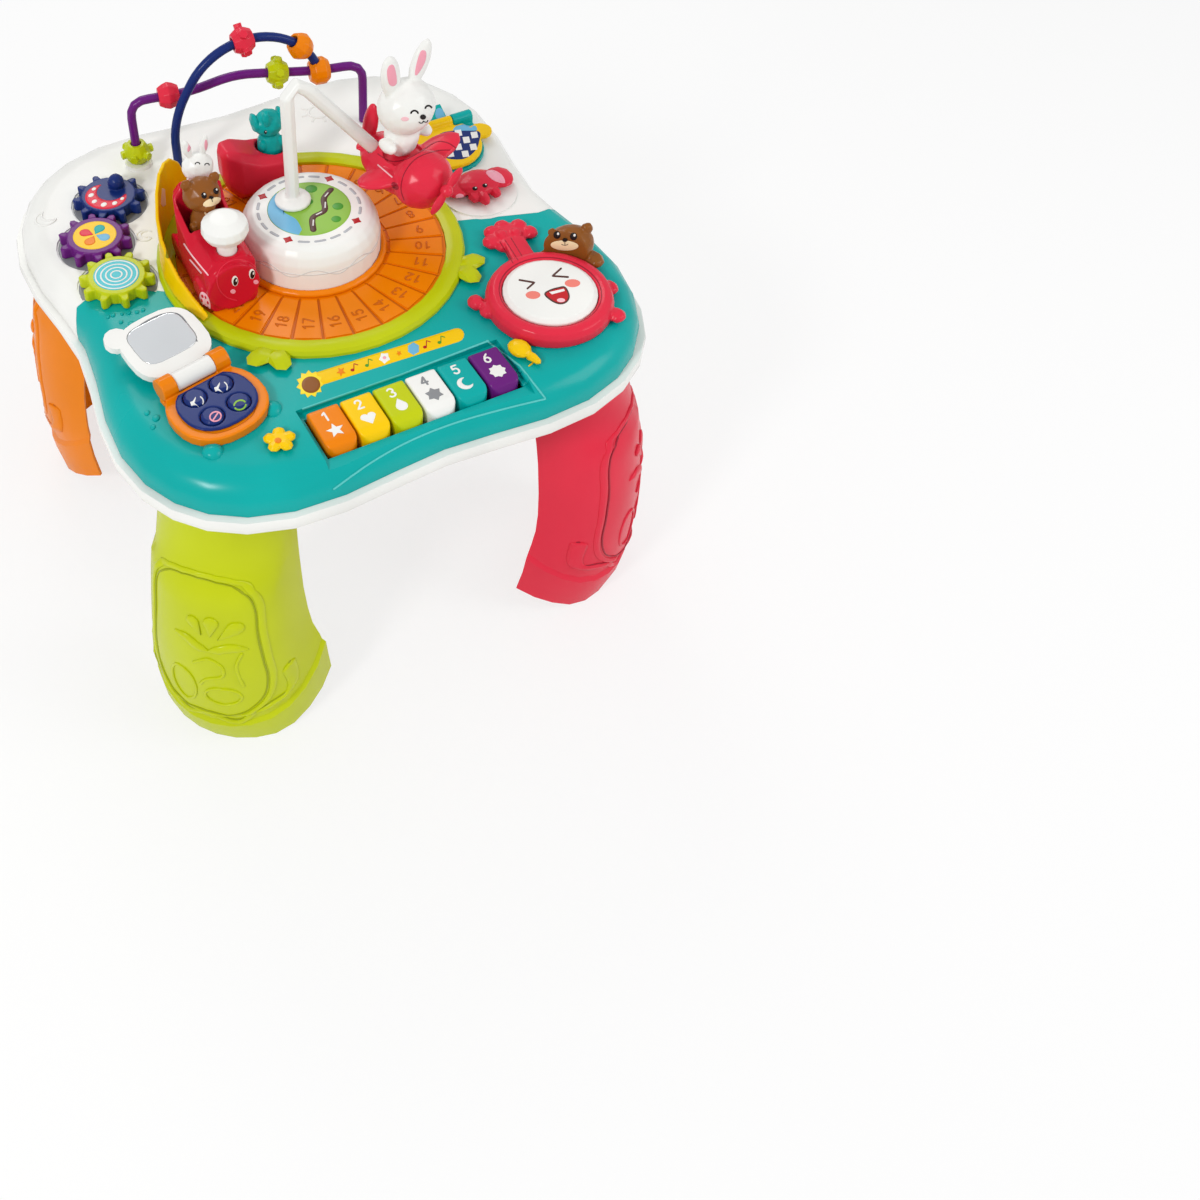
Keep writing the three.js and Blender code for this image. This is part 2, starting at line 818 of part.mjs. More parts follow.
function tunnelPanel() {
  const foot = top + ringHeight + fit;
  const rowsAt = (inset) => wallRowShares.map((share) => wallAngles.map((degrees, i) => {
    const angle = THREE.MathUtils.degToRad(degrees);
    const lean = wallLean * share * THREE.MathUtils.smoothstep(degrees, 150, 180);
    const radius = wallRadius - lean - inset;
    const z = foot + share * (wallHeight * wallHeightShares[i] - ringHeight);
    return vector(radius * Math.cos(angle), radius * Math.sin(angle), z);
  }));
  piece("tunnel_panel", sheet(rowsAt(0), rowsAt(wallThickness)), yellow);
}

// Carousel: hub and collar

function hub() {
  const low = rideFloor - wedgeRise + fit;
  const shoulder = hubRadius - hubTopRadius;
  const ceiling = top + spindleReach + fit;
  const bore = spindleRadius + fit;
  piece("hub", lathe([
    [bore, low], [hubRadius, low], [hubRadius, top + hubHeight * 0.5],
    [hubRadius - shoulder * 0.08, top + hubHeight * 0.68],
    [hubRadius - shoulder * 0.3, top + hubHeight * 0.84],
    [hubRadius - shoulder * 0.62, top + hubHeight * 0.95],
    [hubTopRadius, top + hubHeight], [0, top + hubHeight], [0, ceiling], [bore, ceiling], [bore, low],
  ], 32), white);
}

function carouselRing() {
  const low = top + plateThickness + fit;
  const inner = hubRadius + fit;
  piece("carousel_ring", lathe([
    [inner, low], [collarOuter, low], [collarOuter, low + collarHeight * 0.6],
    [(inner + collarOuter) / 2, low + collarHeight], [inner, low + collarHeight], [inner, low],
  ], 32), orange);
}

// A body lofted along Y through sections of [y, centre x, half width, low z, high z]
function hull(sectionShares, size, keelShare = 0.85) {
  return loft(scaled(sectionShares, size).map(([y, x, half, low, high]) => {
    const shoulder = Math.min(half, high - low) * 0.35;
    const foot = low + shoulder * (0.6 + 3 * (0.85 - keelShare));
    return [
      [half * keelShare, low], [half, foot], [half, high - shoulder], [half - shoulder, high],
      [shoulder - half, high], [-half, high - shoulder], [-half, foot], [-half * keelShare, low],
    ].map(([dx, z]) => vector(x + dx, y, z));
  }));
}

// Train in its own frame, from the middle of the carousel's height line

const trainSectionShares = [
  [-0.4, 0, 0.19, 0, 0.395], [-0.37, 0, 0.215, 0, 0.465],
  [-0.08, -0.01, 0.215, 0, 0.495], [-0.03, -0.01, 0.215, 0, 0.53],
  [0.22, 0, 0.215, 0, 0.63], [0.32, 0.02, 0.205, 0, 0.745],
  [0.36, 0.03, 0.2, 0, 0.58], [0.57, 0.075, 0.18, 0, 0.575],
  [0.6, 0.075, 0.16, 0, 0.455],
];
const bearSeatShares = { x: 0, y: 0.14, halfX: 0.17, halfY: 0.145, z: 0.215 };
const rabbitSeatShares = { x: 0.09, y: 0.45, halfX: 0.15, halfY: 0.09, z: 0.315 };
const chimneyShares = { x: 0.03, y: -0.25, z: 0.43 };

function seatPoint(shares) {
  return [trainX + shares.x * trainLength, shares.y * trainLength, rideFloor + shares.z * trainLength];
}

function seatCut({ x, y, halfX, halfY, z }) {
  const [x0, x1, y0, y1, z0] = scaled([x - halfX, x + halfX, y - halfY, y + halfY, z], trainLength);
  return block(x0, x1, y0, y1, z0, z0 + trainLength);
}

function trainWheel(xShare, yShare) {
  const wheel = crossBar(trainWheelRadius, xShare * trainLength - shellWall, xShare * trainLength, 14);
  return moved(wheel, 0, yShare * trainLength, trainWheelRadius);
}

function train() {
  const solid = hull(trainSectionShares, trainLength);
  const body = solid.subtract(seatCut(bearSeatShares)).subtract(seatCut(rabbitSeatShares));
  const face = disc(trainFaceRadius, 0, trainLength / 20, 18).rotate([90, 0, 0]);
  const placedFace = moved(face, 0, -trainLength * 0.38, trainFaceRadius + fit);
  const [x, y, z] = scaled([chimneyShares.x, chimneyShares.y, chimneyShares.z], trainLength);
  const bore = moved(disc(chimneyStem + fit, z, z + trainLength, 14), x, y);
  const whole = joined(body, placedFace, trainWheel(-0.215, -0.24), trainWheel(-0.18, 0.34)).subtract(bore);
  piece("train_body", moved(whole, trainX, 0, rideFloor), red);

  const cap = chimneyStem * 2.35;
  const chimney = lathe([
    [0, 0], [chimneyStem, 0], [chimneyStem, chimneyHeight * 0.4], [cap * 0.84, chimneyHeight * 0.48],
    [cap, chimneyHeight * 0.65], [cap * 0.95, chimneyHeight * 0.83],
    [cap * 0.58, chimneyHeight * 0.97], [0, chimneyHeight],
  ], 18);
  piece("train_chimney", moved(chimney, trainX + x, y, rideFloor + z + fit), white);
}

// Riders, from rows of ellipsoids in shares of the head's half width

const bearShares = [
  [0, 0, 0, 1, 0.94, 0.9, 0, 1],
  [0, -0.8, -0.24, 0.42, 0.3, 0.3],
  [0, 0.05, -1.9, 0.78, 0.7, 1.35, 0, 1],
  ...bothSides([[0.72, 0, 0.78, 0.34, 0.22, 0.34], [0.7, -0.25, -1.7, 0.26, 0.3, 0.42]]),
];
const rabbitShares = [
  [0, 0, 0, 1, 0.82, 0.9, 0, 1],
  [0, -0.1, -1.85, 0.66, 0.56, 1.45, 0, 1],
  ...bothSides([[0.52, 0, 1.35, 0.3, 0.2, 0.8, 12], [0.52, -0.35, -1.4, 0.24, 0.26, 0.4]]),
];
const elephantShares = [
  [0, 0, 0, 1, 0.92, 0.95, 0, 1],
  [0, 0, -1.68, 0.85, 0.85, 1.35, 0, 1],
  [-0.35, -0.6, 0.8, 0.3, 0.32, 0.7],
  ...bothSides([[0.9, 0.15, 0.2, 0.25, 0.65, 0.72], [0.62, -0.4, -1.3, 0.3, 0.34, 0.45]]),
];
const pilotShares = [
  [0.1, 0, 0, 1.04, 0.92, 0.94, 0, 2],
  [0, 0.1, -1.13, 0.65, 0.6, 0.82, 0, 1],
  [-0.5, 0.1, 1.3, 0.41, 0.2, 0.86, -6, 1],
  [0.76, 0.1, 1.34, 0.4, 0.2, 0.84, 24, 1],
  ...bothSides([[0.78, -0.1, -1.13, 0.27, 0.42, 0.27]]),
];

// A rider whose body stands on a seat
function rider(rowShares, size, [x, y, z]) {
  const solid = blobs(rowShares, size);
  return moved(solid, x, y, z + fit - solid.boundingBox().min[2]);
}

function riders() {
  piece("train_bear", rider(bearShares, bearSize, seatPoint(bearSeatShares)), brown);
  piece("train_rabbit", rider(rabbitShares, trainRabbitSize, seatPoint(rabbitSeatShares)), white);
}

// Boat with its elephant, heading along -X

const boatSectionShares = [
  [-0.5, 0, 0.075, 0.39, 0.72], [-0.44, 0, 0.18, 0.17, 0.8],
  [-0.29, 0, 0.27, 0, 0.77], [-0.05, 0, 0.3, 0, 0.66],
  [0.26, 0, 0.3, 0, 0.61], [0.44, 0, 0.26, 0, 0.58], [0.5, 0, 0.18, 0.08, 0.51],
];

function boat() {
  const seatX = boatLength * 0.2;
  const seatZ = boatLength * 0.36;
  const body = turnedAbout(hull(boatSectionShares, boatLength, 0.45), -90);
  const seat = moved(disc(elephantSize, seatZ, boatLength, 14), seatX, 0);
  piece("boat_body", moved(body.subtract(seat), boatX, boatY, rideFloor), red);
  const elephantSeat = [boatX + seatX, boatY, rideFloor + seatZ];
  piece("boat_elephant", rider(elephantShares, elephantSize, elephantSeat), teal);
}

// Arm and plane: the plane's own frame looks along -Y and is turned about the arm's end

const planeHead = [planeX, planeY, top + planeRise];
const armLow = top + hubHeight + fit;
const armHigh = armLow + armRise;

function placedAtPlane(solid) {
  return moved(turnedAbout(solid, planeTurn), ...planeHead);
}

// The arm rises from the hub and slopes down into the plane's rear
function armPath() {
  return bentPath([
    vector(armX, armY, armLow + armFootHeight / 2), vector(armX, armY, armHigh),
    vector(armX + 2 * armRadius, armY + armSide / 4, armHigh),
    vector(armX + armReach, armY + armSide, armHigh - armDrop),
  ], armRadius);
}

function planeArm() {
  const foot = lathe([
    [0, 0], [armFoot, 0], [armFoot, armFootHeight / 2], [armRadius * 1.5, armFootHeight], [0, armFootHeight],
  ], 16);
  piece("plane_arm", joined(moved(foot, armX, armY, armLow), bar(armPath(), armRadius, 16)), white);
}

const planeShares = [
  [0, -0.2, 0, 0.26, 0.24, 0.24, 0, 2],
  [0, 0.08, -0.03, 0.25, 0.42, 0.21, 0, 2],
  [0, 0.42, 0.03, 0.19, 0.08, 0.035, 0, 1],
  ...bothSides([[0.27, -0.04, 0.06, 0.28, 0.14, 0.05, -10, 1]]),
];
const finShares = [0.05, 0.08, 0.24];
const finPlaceShares = [-0.02, 0.43, 0.2];
const cockpitShares = { y: 0.04, radius: 0.165, z: 0.09 };

function plane() {
  const upright = ball(...scaled(finShares, planeLength)).rotate([14, 0, 0]);
  const fin = moved(upright, ...scaled(finPlaceShares, planeLength));
  const [y, radius, z] = scaled([cockpitShares.y, cockpitShares.radius, cockpitShares.z], planeLength);
  const cockpit = moved(disc(radius, z, z + planeLength, 16), 0, y);
  const body = joined(blobs(planeShares, planeLength), fin).subtract(cockpit);
  const armHole = bar(armPath(), armRadius + fit, 16);
  const tip = armRadius + fit;
  const end = moved(ball(tip, tip, tip / 2), armX + armReach, armY + armSide, armHigh - armDrop);
  piece("plane_body", placedAtPlane(body).subtract(armHole).subtract(end), red);

  const pilot = rider(pilotShares, pilotSize, [0, y, z]);
  piece("plane_rabbit", placedAtPlane(pilot), white);

  const boss = ball(propellerRadius / 4, propellerRadius / 4, propellerRadius / 4);
  const blades = [-1, 1].map((side) => {
    const blade = ball(propellerRadius / 3.8, propellerRadius / 10, propellerRadius / 2, 1);
    return moved(blade, 0, 0, side * propellerRadius * 0.52).rotate([0, propellerTurn, 0]);
  });
  const [noseY, noseZ] = scaled([-0.486, 0.05], planeLength);
  piece("propeller", placedAtPlane(moved(joined(boss, blades), 0, noseY, noseZ)), red);
}

// Piano keys, which dip at the front about their rear edge

function pianoKeys() {
  const tones = [orange, yellow, green, white, teal, purple];
  const rear = -bayRear - runningGap;
  const bottom = top - keyDrop;
  const crown = top + keyProud;
  const tail = top - bayDepth - shellWall - runningGap;
  const riser = -keyRear - runningGap;
  const outline = [
    [rear, bottom], [rear, tail], [riser, tail],
    [riser, crown - keyRound / 5], [riser - keyRound / 5, crown],
    [keyRound - keyFront, crown], [keyRound * 0.35 - keyFront, crown - keyRound / 4],
    [keyRound * 0.08 - keyFront, crown - keyRound * 0.75], [-keyFront, top - bayDepth], [-keyFront, bottom],
  ];
  const shape = new THREE.Shape(outline.map(([y, z]) => new THREE.Vector2(y, z)));
  const geometry = new THREE.ExtrudeGeometry(shape, { depth: keyWidth, bevelEnabled: false });
  geometry.rotateX(Math.PI / 2);
  geometry.rotateZ(Math.PI / 2);
  const corner = keyWidth * keyCornerShare;
  const onCorner = (x, turn) => Array.from({ length: 5 }, (_, i) => {
    const angle = turn + (i * Math.PI) / 8;
    return [x + corner * Math.cos(angle), corner - keyFront + corner * Math.sin(angle)];
  });
  const plan = [
    [keyWidth, rear], [0, rear], ...onCorner(corner, Math.PI), ...onCorner(keyWidth - corner, 1.5 * Math.PI),
  ];
  const key = solidFrom(geometry).intersect(prism(plan, bottom - overrun, crown + overrun));
  for (let i = 0; i < keyCount; i++) {
    const x = (i - (keyCount - 1) / 2) * keyPitch - keyWidth / 2;
    piece(`key_${i + 1}`, moved(key, x, 0), tones[i % tones.length]);
  }
}

// Gears on pins, in mesh, with a finger knob on the rear one

function gearSolid() {
  const root = gearRootRadius - toothTipWidth / 2;
  const shoulder = gearTipRadius - toothTipWidth / 3;
  const tooth = prism([
    [root, -toothRootWidth / 2], [shoulder, -toothTipWidth / 2], [gearTipRadius, 0],
    [shoulder, toothTipWidth / 2], [root, toothRootWidth / 2],
  ], 0, gearThickness * 0.9);
  const teeth = Array.from({ length: gearTeeth }, (_, i) => turnedAbout(tooth, (360 * i) / gearTeeth));
  return joined(disc(gearRootRadius, 0, gearThickness, 20), teeth);
}

function gears() {
  const bore = disc(gearPinRadius + fit, -overrun, gearThickness * 0.82, 12);
  const towards = (a, b) => (Math.atan2(b[2] - a[2], b[1] - a[1]) * 180) / Math.PI;
  const [back, middle, front] = gearCentres;
  const tooth = 360 / gearTeeth;
  const middleTurn = towards(middle, back) + tooth / 2;
  const phase = (towards(middle, front) - middleTurn) / tooth;
  const frontTurn = towards(front, middle) + tooth / 2 + (phase - Math.round(phase)) * tooth;
  const turns = [towards(back, middle), middleTurn, frontTurn];
  const round = ball(gearKnobRadius, gearKnobRadius, gearKnobRadius);
  const knob = moved(round, gearKnobRadius * 1.3, gearKnobRadius * 0.9);
  gearCentres.forEach(([name, x, y, colour], i) => {
    let gear = turnedAbout(gearSolid().subtract(bore), turns[i]);
    if (i === 0) gear = joined(gear, moved(knob, 0, 0, gearThickness + gearKnobRadius * 0.6));
    piece(name, moved(gear, x, y, top - wellDepth + runningGap), colour);
  });
}

// Drum with a fiddle's neck and limbs, its pad, and the bear that leans on it

const neckShares = [[-0.13, 0.8], [0.27, 0.72], [0.36, 1.42], [0.02, 1.53]];
const elbowShares = [[-0.74, 0.18], [-0.65, -0.12], [-1.0, 0.2], [-1.05, 0.4]];
const headstockShares = [
  [0.18, 1.64, 0.07, 0.38, 0.3, 0.1, 0, 1],
  [-0.14, 1.6, 0.08, 0.15, 0.15, 0.1], [0, 1.8, 0.08, 0.16, 0.15, 0.1],
  [0.22, 1.86, 0.08, 0.16, 0.14, 0.1], [0.47, 1.76, 0.08, 0.16, 0.15, 0.1],
  [0.56, 1.54, 0.08, 0.14, 0.14, 0.1],
  [-0.02, 1.44, 0.08, 0.13, 0.12, 0.1], [0.07, 1.62, 0.14, 0.12, 0.12, 0.08],
  [0.3, 1.56, 0.14, 0.12, 0.12, 0.08],
];
const limbShares = [
  [-1.05, 0.45, 0.09, 0.15, 0.15, 0.12], [-0.87, -0.04, 0.08, 0.11, 0.11, 0.1],
  [-1.0, 0.2, 0.08, 0.12, 0.13, 0.1],
  [0.99, -0.18, 0.09, 0.15, 0.16, 0.1], [0.75, -0.76, 0.09, 0.16, 0.15, 0.1],
];

function drum() {
  const low = top + fit;
  const high = top + drumHeight;
  const inner = drumPadRadius + runningGap;
  const ring = lathe([
    [0, low], [drumOuter, low], [drumOuter, top + drumHeight * 0.55],
    [drumOuter * 0.95, top + drumHeight * 0.87],
    [drumOuter * 0.86, high], [inner, top + drumHeight * 0.87],
    [inner, top + drumFloor], [0, top + drumFloor],
  ], 32);
  const bars = [neckShares, elbowShares].map((shares) => {
    return prism(scaled(shares, drumOuter), low, top + drumHeight * 0.6);
  });
  const lumps = [headstockShares, limbShares].map((shares) => moved(blobs(shares, drumOuter), 0, 0, top));
  const well = disc(inner, top + drumFloor, high + drumHeight, 32);
  const under = block(-far, far, -far, far, top - far, low);
  const frame = joined(joined(bars, lumps).subtract(well), ring).subtract(under);
  piece("drum_frame", moved(frame, drumX, drumY), red);

  const padLow = top + drumFloor + drumTravel + runningGap;
  const pad = lathe([
    [0, padLow], [drumPadRadius, padLow], [drumPadRadius, top + drumHeight * 0.9],
    [drumPadRadius * 0.9, top + drumHeight * 1.07], [0, top + drumHeight * 1.16],
  ], 32);
  piece("drum_pad", moved(pad, drumX, drumY), white);
}

const drumBearShares = [
  [0, 0, 0.88, 1.12, 0.88, 0.84, 0, 2],
  [-0.25, -0.6, 0.75, 0.4, 0.4, 0.25],
  [-0.95, 0.2, 0.4, 0.6, 0.4, 0.35],
  [0.8, -0.75, 0.4, 0.45, 0.5, 0.3],
  [-0.75, 0.25, 1.55, 0.33, 0.22, 0.33],
  [0.7, -0.1, 1.55, 0.33, 0.22, 0.33],
];

function drumBear() {
  const column = moved(disc(drumOuter + fit, top, top + far, 32), drumX, drumY);
  const neck = moved(prism(scaled(neckShares, drumOuter), top, top + far), drumX + fit, drumY);
  const under = block(-far, far, -far, far, top - far, top + fit);
  const bear = moved(blobs(drumBearShares, drumBearSize), drumBearX, drumBearY, top);
  piece("drum_bear", bear.subtract(column).subtract(neck).subtract(under), brown);
}

// Phone: base, keypad, four buttons, and a cover that holds a mirror

const buttonPlaces = [[-1, 1], [1, 1], [1, -1], [-1, -1]].map(([x, y]) => {
  return [(x * buttonSpread) / 2, (y * buttonSpread) / 2];
});
const shelfShares = [[-0.8, 0.2], [0.8, 0.2], [0.8, 0.85], [0.62, 1.04], [-0.62, 1.04], [-0.8, 0.85]];

function placedAtPhone(solid) {
  return moved(turnedAbout(solid, phoneTurn), phoneX, phoneY, top);
}

function phoneOutline(inset) {
  return oval(phoneHalfWidth - inset, phoneHalfLength - inset, 28, 2.3);
}

// The phone's own plan, seen from a point on it
function phoneColumn(margin, x, y) {
  return moved(prism(phoneOutline(-margin), -phoneThickness, 2 * phoneThickness), -x, -y);
}

function phone() {
  let base = joined(
    prism(phoneOutline(0), fit, phoneThickness),
    prism(scaled(shelfShares, phoneHalfWidth), fit, phoneThickness * 0.45),
  );
  const hollow = crossBar(barrelRadius + runningGap, -barrelHalf, barrelHalf, 14);
  base = base.subtract(moved(hollow, 0, phoneHingeY, phoneHingeZ));
  for (const side of [-1, 1]) {
    const x0 = Math.min(side * barrelHalf, side * phoneHalfWidth * 0.78);
    const x1 = Math.max(side * barrelHalf, side * phoneHalfWidth * 0.78);
    base = joined(base, moved(crossBar(knuckleRadius, x0, x1, 12), 0, phoneHingeY, phoneHingeZ));
  }
  const pocket = disc(buttonRadius + runningGap, phoneThickness / 3, far, 14);
  const keypadLow = phoneThickness + fit;
  let keypad = prism(phoneOutline(keypadInset), keypadLow, keypadLow + keypadThickness);
  keypad = keypad.subtract(moved(crossBar(barrelRadius * 1.5, -far, far, 14), 0, phoneHingeY, phoneHingeZ));
  for (const [x, y] of buttonPlaces) {
    base = base.subtract(moved(pocket, x, y));
    keypad = keypad.subtract(moved(pocket, x, y));
  }
  piece("phone_base", placedAtPhone(base), orange);
  piece("keypad_panel", placedAtPhone(keypad), navy);

  const low = phoneThickness / 3 + buttonTravel + runningGap;
  const high = low + buttonHeight;
  const round = buttonRadius / 5;
  const button = lathe([
    [0, low], [buttonRadius, low], [buttonRadius, high - round], [buttonRadius - round, high], [0, high],
  ], 14);
  buttonPlaces.forEach(([x, y], i) => {
    piece(`phone_button_${i + 1}`, placedAtPhone(moved(button, x, y)), navy);
  });
}

const mirrorPlaceShare = 0.63;

// The cover lies open behind its hinge, with the mirror upward
function phoneCover() {
  const plan = oval(coverHalfWidth, coverLength * 0.44, 28, 3).map(([x, y]) => [x, y + coverLength * 0.56]);
  const mirrorPlan = (inset) => oval(coverHalfWidth * 0.74 - inset, coverLength * 0.3 - inset, 24, 4);
  const onCover = (inset) => mirrorPlan(inset).map(([x, y]) => [x, y + coverLength * mirrorPlaceShare]);
  const high = -barrelRadius / 5;
  const low = high - coverThickness;
  const ear = moved(disc(coverEar, low, high, 12), -coverHalfWidth * 0.88, coverLength * 0.9);
  const tab = block(fit - barrelHalf, barrelHalf - fit, barrelRadius * 0.3, coverLength * 0.2, low, high);
  const barrel = crossBar(barrelRadius, fit - barrelHalf, barrelHalf - fit, 12);
  const window = prism(onCover(0), high - mirrorDepth, high + overrun);
  const nearHinge = block(-far, far, -far, coverLength * 0.16, low - overrun, high + overrun);
  const cover = joined(prism(plan, low, high).subtract(nearHinge), ear, tab, barrel).subtract(window);
  const opened = (solid) => {
    return placedAtPhone(moved(solid.rotate([coverTilt, 0, 0]), 0, phoneHingeY, phoneHingeZ));
  };
  piece("phone_cover", opened(cover), white);
  piece("mirror", opened(prism(onCover(fit), high - mirrorDepth + fit, high)), grey, 0.05);
}

// Lights

const petalShares = [0.6, 0, 0.26, 0.42, 0.4, 0.26];
const balloonShares = [[0, 0.2, 0.14, 0.27, 0.33, 0.15, 0, 1], [0.06, -0.2, 0.1, 0.13, 0.28, 0.11]];

function lights() {
  const petals = Array.from({ length: 5 }, (_, i) => {
    return turnedAbout(blobs([petalShares], flowerRadius), 72 * i);
  });
  const under = block(-far, far, -far, far, -far, 0);
  const middle = disc(flowerRadius / 2, 0, flowerRadius * 0.45, 10);
  const flower = joined(middle, petals).subtract(under);
  piece("flower_light", moved(flower, flowerX, flowerY, top + fit), yellow, 0.2);
  const drumColumn = moved(disc(drumOuter + fit, top, top + drumHeight, 32), drumX, drumY);
  const balloon = turnedAbout(blobs(balloonShares, balloonLength).subtract(under), 14);
  piece("balloon_light", moved(balloon, balloonX, balloonY, top + fit).subtract(drumColumn), yellow, 0.2);
}

// Book: base with a rear leaf, and a page that turns

const bookShelfShares = [[-1.13, 0.45], [1.13, 0.45], [1.13, 0.86], [-1.13, 0.86]];

function book() {
  const knuckle = bookBarrel + fit;
  const clearBar = crossBar(bookBarrel + runningGap, -bookBarrelHalf, bookBarrelHalf, 12);
  const clear = moved(clearBar, 0, bookHingeY, bookHingeZ);
  const knuckles = [-1, 1].map((side) => {
    const x0 = Math.min(side * bookBarrelHalf, side * bookCheekOut);
    const x1 = Math.max(side * bookBarrelHalf, side * bookCheekOut);
    const cheek = block(x0, x1, bookHingeY - knuckle, bookHingeY + knuckle, bookBase / 2, bookHingeZ);
    return joined(cheek, moved(crossBar(knuckle, x0, x1, 12), 0, bookHingeY, bookHingeZ));
  });
  const flat = block(-bookBarrelHalf, bookBarrelHalf, 0, bookRadius / 2, -bookBase / 2, bookBase / 2);
  const leaf = flat.rotate([25, 0, 0]);
  const base = joined(
    prism(oval(bookRadius, bookRadius, 28), fit, bookBase),
    prism(scaled(bookShelfShares, bookRadius), fit, bookBase),
    moved(leaf, 0, bookHingeY + knuckle, bookBase).subtract(block(-far, far, -far, far, -far, fit)),
  );
  piece("book_base", moved(joined(base.subtract(clear), knuckles), bookX, bookY, top), teal);

  const low = bookBase + runningGap;
  const high = low + pageThickness;
  const ears = [-1, 1].map((side) => {
    return moved(disc(bookRadius * 0.28, low, high, 14), side * bookRadius * 1.08, bookRadius * 0.08);
  });
  const behindHinge = block(-far, far, bookHingeY - bookBarrel * 1.4, far, -far, far);
  const page = joined(
    prism(oval(bookRadius * 0.95, bookRadius * 0.95, 28), low, high).subtract(behindHinge), ears,
    block(fit - bookBarrelHalf, bookBarrelHalf - fit, bookRadius / 4, bookHingeY, low + fit, high),
    moved(crossBar(bookBarrel, fit - bookBarrelHalf, bookBarrelHalf - fit, 12), 0, bookHingeY, bookHingeZ),
  );
  piece("book_page", moved(page, bookX, bookY, top), yellow);
}

// Elephant-faced button on its white plate

const elephantFaceShares = [
  [0, 0.1, 0.28, 1.1, 0.9, 0.42, 0, 2], [-0.15, -0.9, 0.2, 0.28, 0.55, 0.28, 0, 1],
  ...bothSides([[1.15, 0.25, 0.2, 0.72, 0.82, 0.2, 0, 1], [0.55, -0.72, 0.18, 0.3, 0.36, 0.24]]),
];

function elephantButton() {
  const low = elephantPlateRise + elephantTravel + fit;
  const face = blobs(elephantFaceShares, elephantFace).subtract(block(-far, far, -far, far, -far, 0));
  const stem = disc(stemRadius, -shellWall - low, elephantFace / 4, 14);
  piece("elephant_button", moved(turnedAbout(joined(face, stem), -6), elephantX, elephantY, top + low), red);
}

// Bead wires: a purple one that ends in both bosses, and a blue one that ends in a joint on it

// A point over the line between the purple wire's feet
function overPurple(x, z) {
  const share = (x - purpleLeftX) / (purpleRightX - purpleLeftX);
  return vector(x, purpleLeftY + share * (purpleRightY - purpleLeftY), top + z);
}

// A point over the line from the blue wire's foot to the joint
function overBlue(x, z) {
  const share = (x - blueLeftX) / (jointX - blueLeftX);
  return vector(x, blueLeftY + share * (overPurple(jointX, 0).y - blueLeftY), top + z);
}

function onArc(degrees) {
  const angle = THREE.MathUtils.degToRad(degrees);
  return overBlue(arcX + arcRadius * Math.cos(angle), arcRise + arcRadius * Math.sin(angle));
}

function purplePath() {
  return bentPath([
    overPurple(purpleLeftX, wireBossHeight + fit),
    overPurple(purpleLeftX, lowRun), overPurple(lowRunEnd, lowRun),
    overPurple(highRunStart, highRun), overPurple(jointX, jointRise),
    overPurple(purpleRightX, jointRise - fit),
    overPurple(purpleRightX, wireBossHeight + fit),
  ], wireBend);
}

function bluePath() {
  const path = new THREE.CurvePath();
  const rise = overBlue(blueLeftX, arcRise * 0.66);
  path.add(new THREE.LineCurve3(overBlue(blueLeftX, wireBossHeight + fit), rise));
  const bend = overBlue(blueLeftX + wireRadius / 2, arcRise * 1.2);
  path.add(new THREE.QuadraticBezierCurve3(rise, bend, onArc(arcStart)));
  const count = 20;
  const points = Array.from({ length: count + 1 }, (_, i) => {
    return onArc(arcStart + ((arcEnd - arcStart) * i) / count);
  });
  path.add(new THREE.CatmullRomCurve3(points));
  return path;
}

// A solid made along Z, laid along a direction at a point
function laid(solid, at, direction) {
  const along = direction.clone().normalize();
  const pitch = (Math.acos(along.z) * 180) / Math.PI;
  const turn = (Math.atan2(along.y, along.x) * 180) / Math.PI;
  return moved(solid.rotate([0, pitch, 0]).rotate([0, 0, turn]), at.x, at.y, at.z);
}

function bead(gap) {
  const bore = wireRadius + gap;
  const flat = Math.sqrt(beadRadius ** 2 - beadHalf ** 2);
  const profile = [
    [bore, -beadHalf], [flat, -beadHalf], [beadRadius * 0.88, -beadHalf / 2], [beadRadius, 0],
    [beadRadius * 0.88, beadHalf / 2], [flat, beadHalf], [bore, beadHalf], [bore, -beadHalf],
  ];
  return lathe(profile, 10);
}

// Knobs round a bead
function knobbed(solid, count) {
  const knob = crossBar(beadRadius * 0.32, beadRadius * 0.8, beadRadius * 1.2, 6);
  return joined(solid, Array.from({ length: count }, (_, i) => turnedAbout(knob, (360 * i) / count)));
}

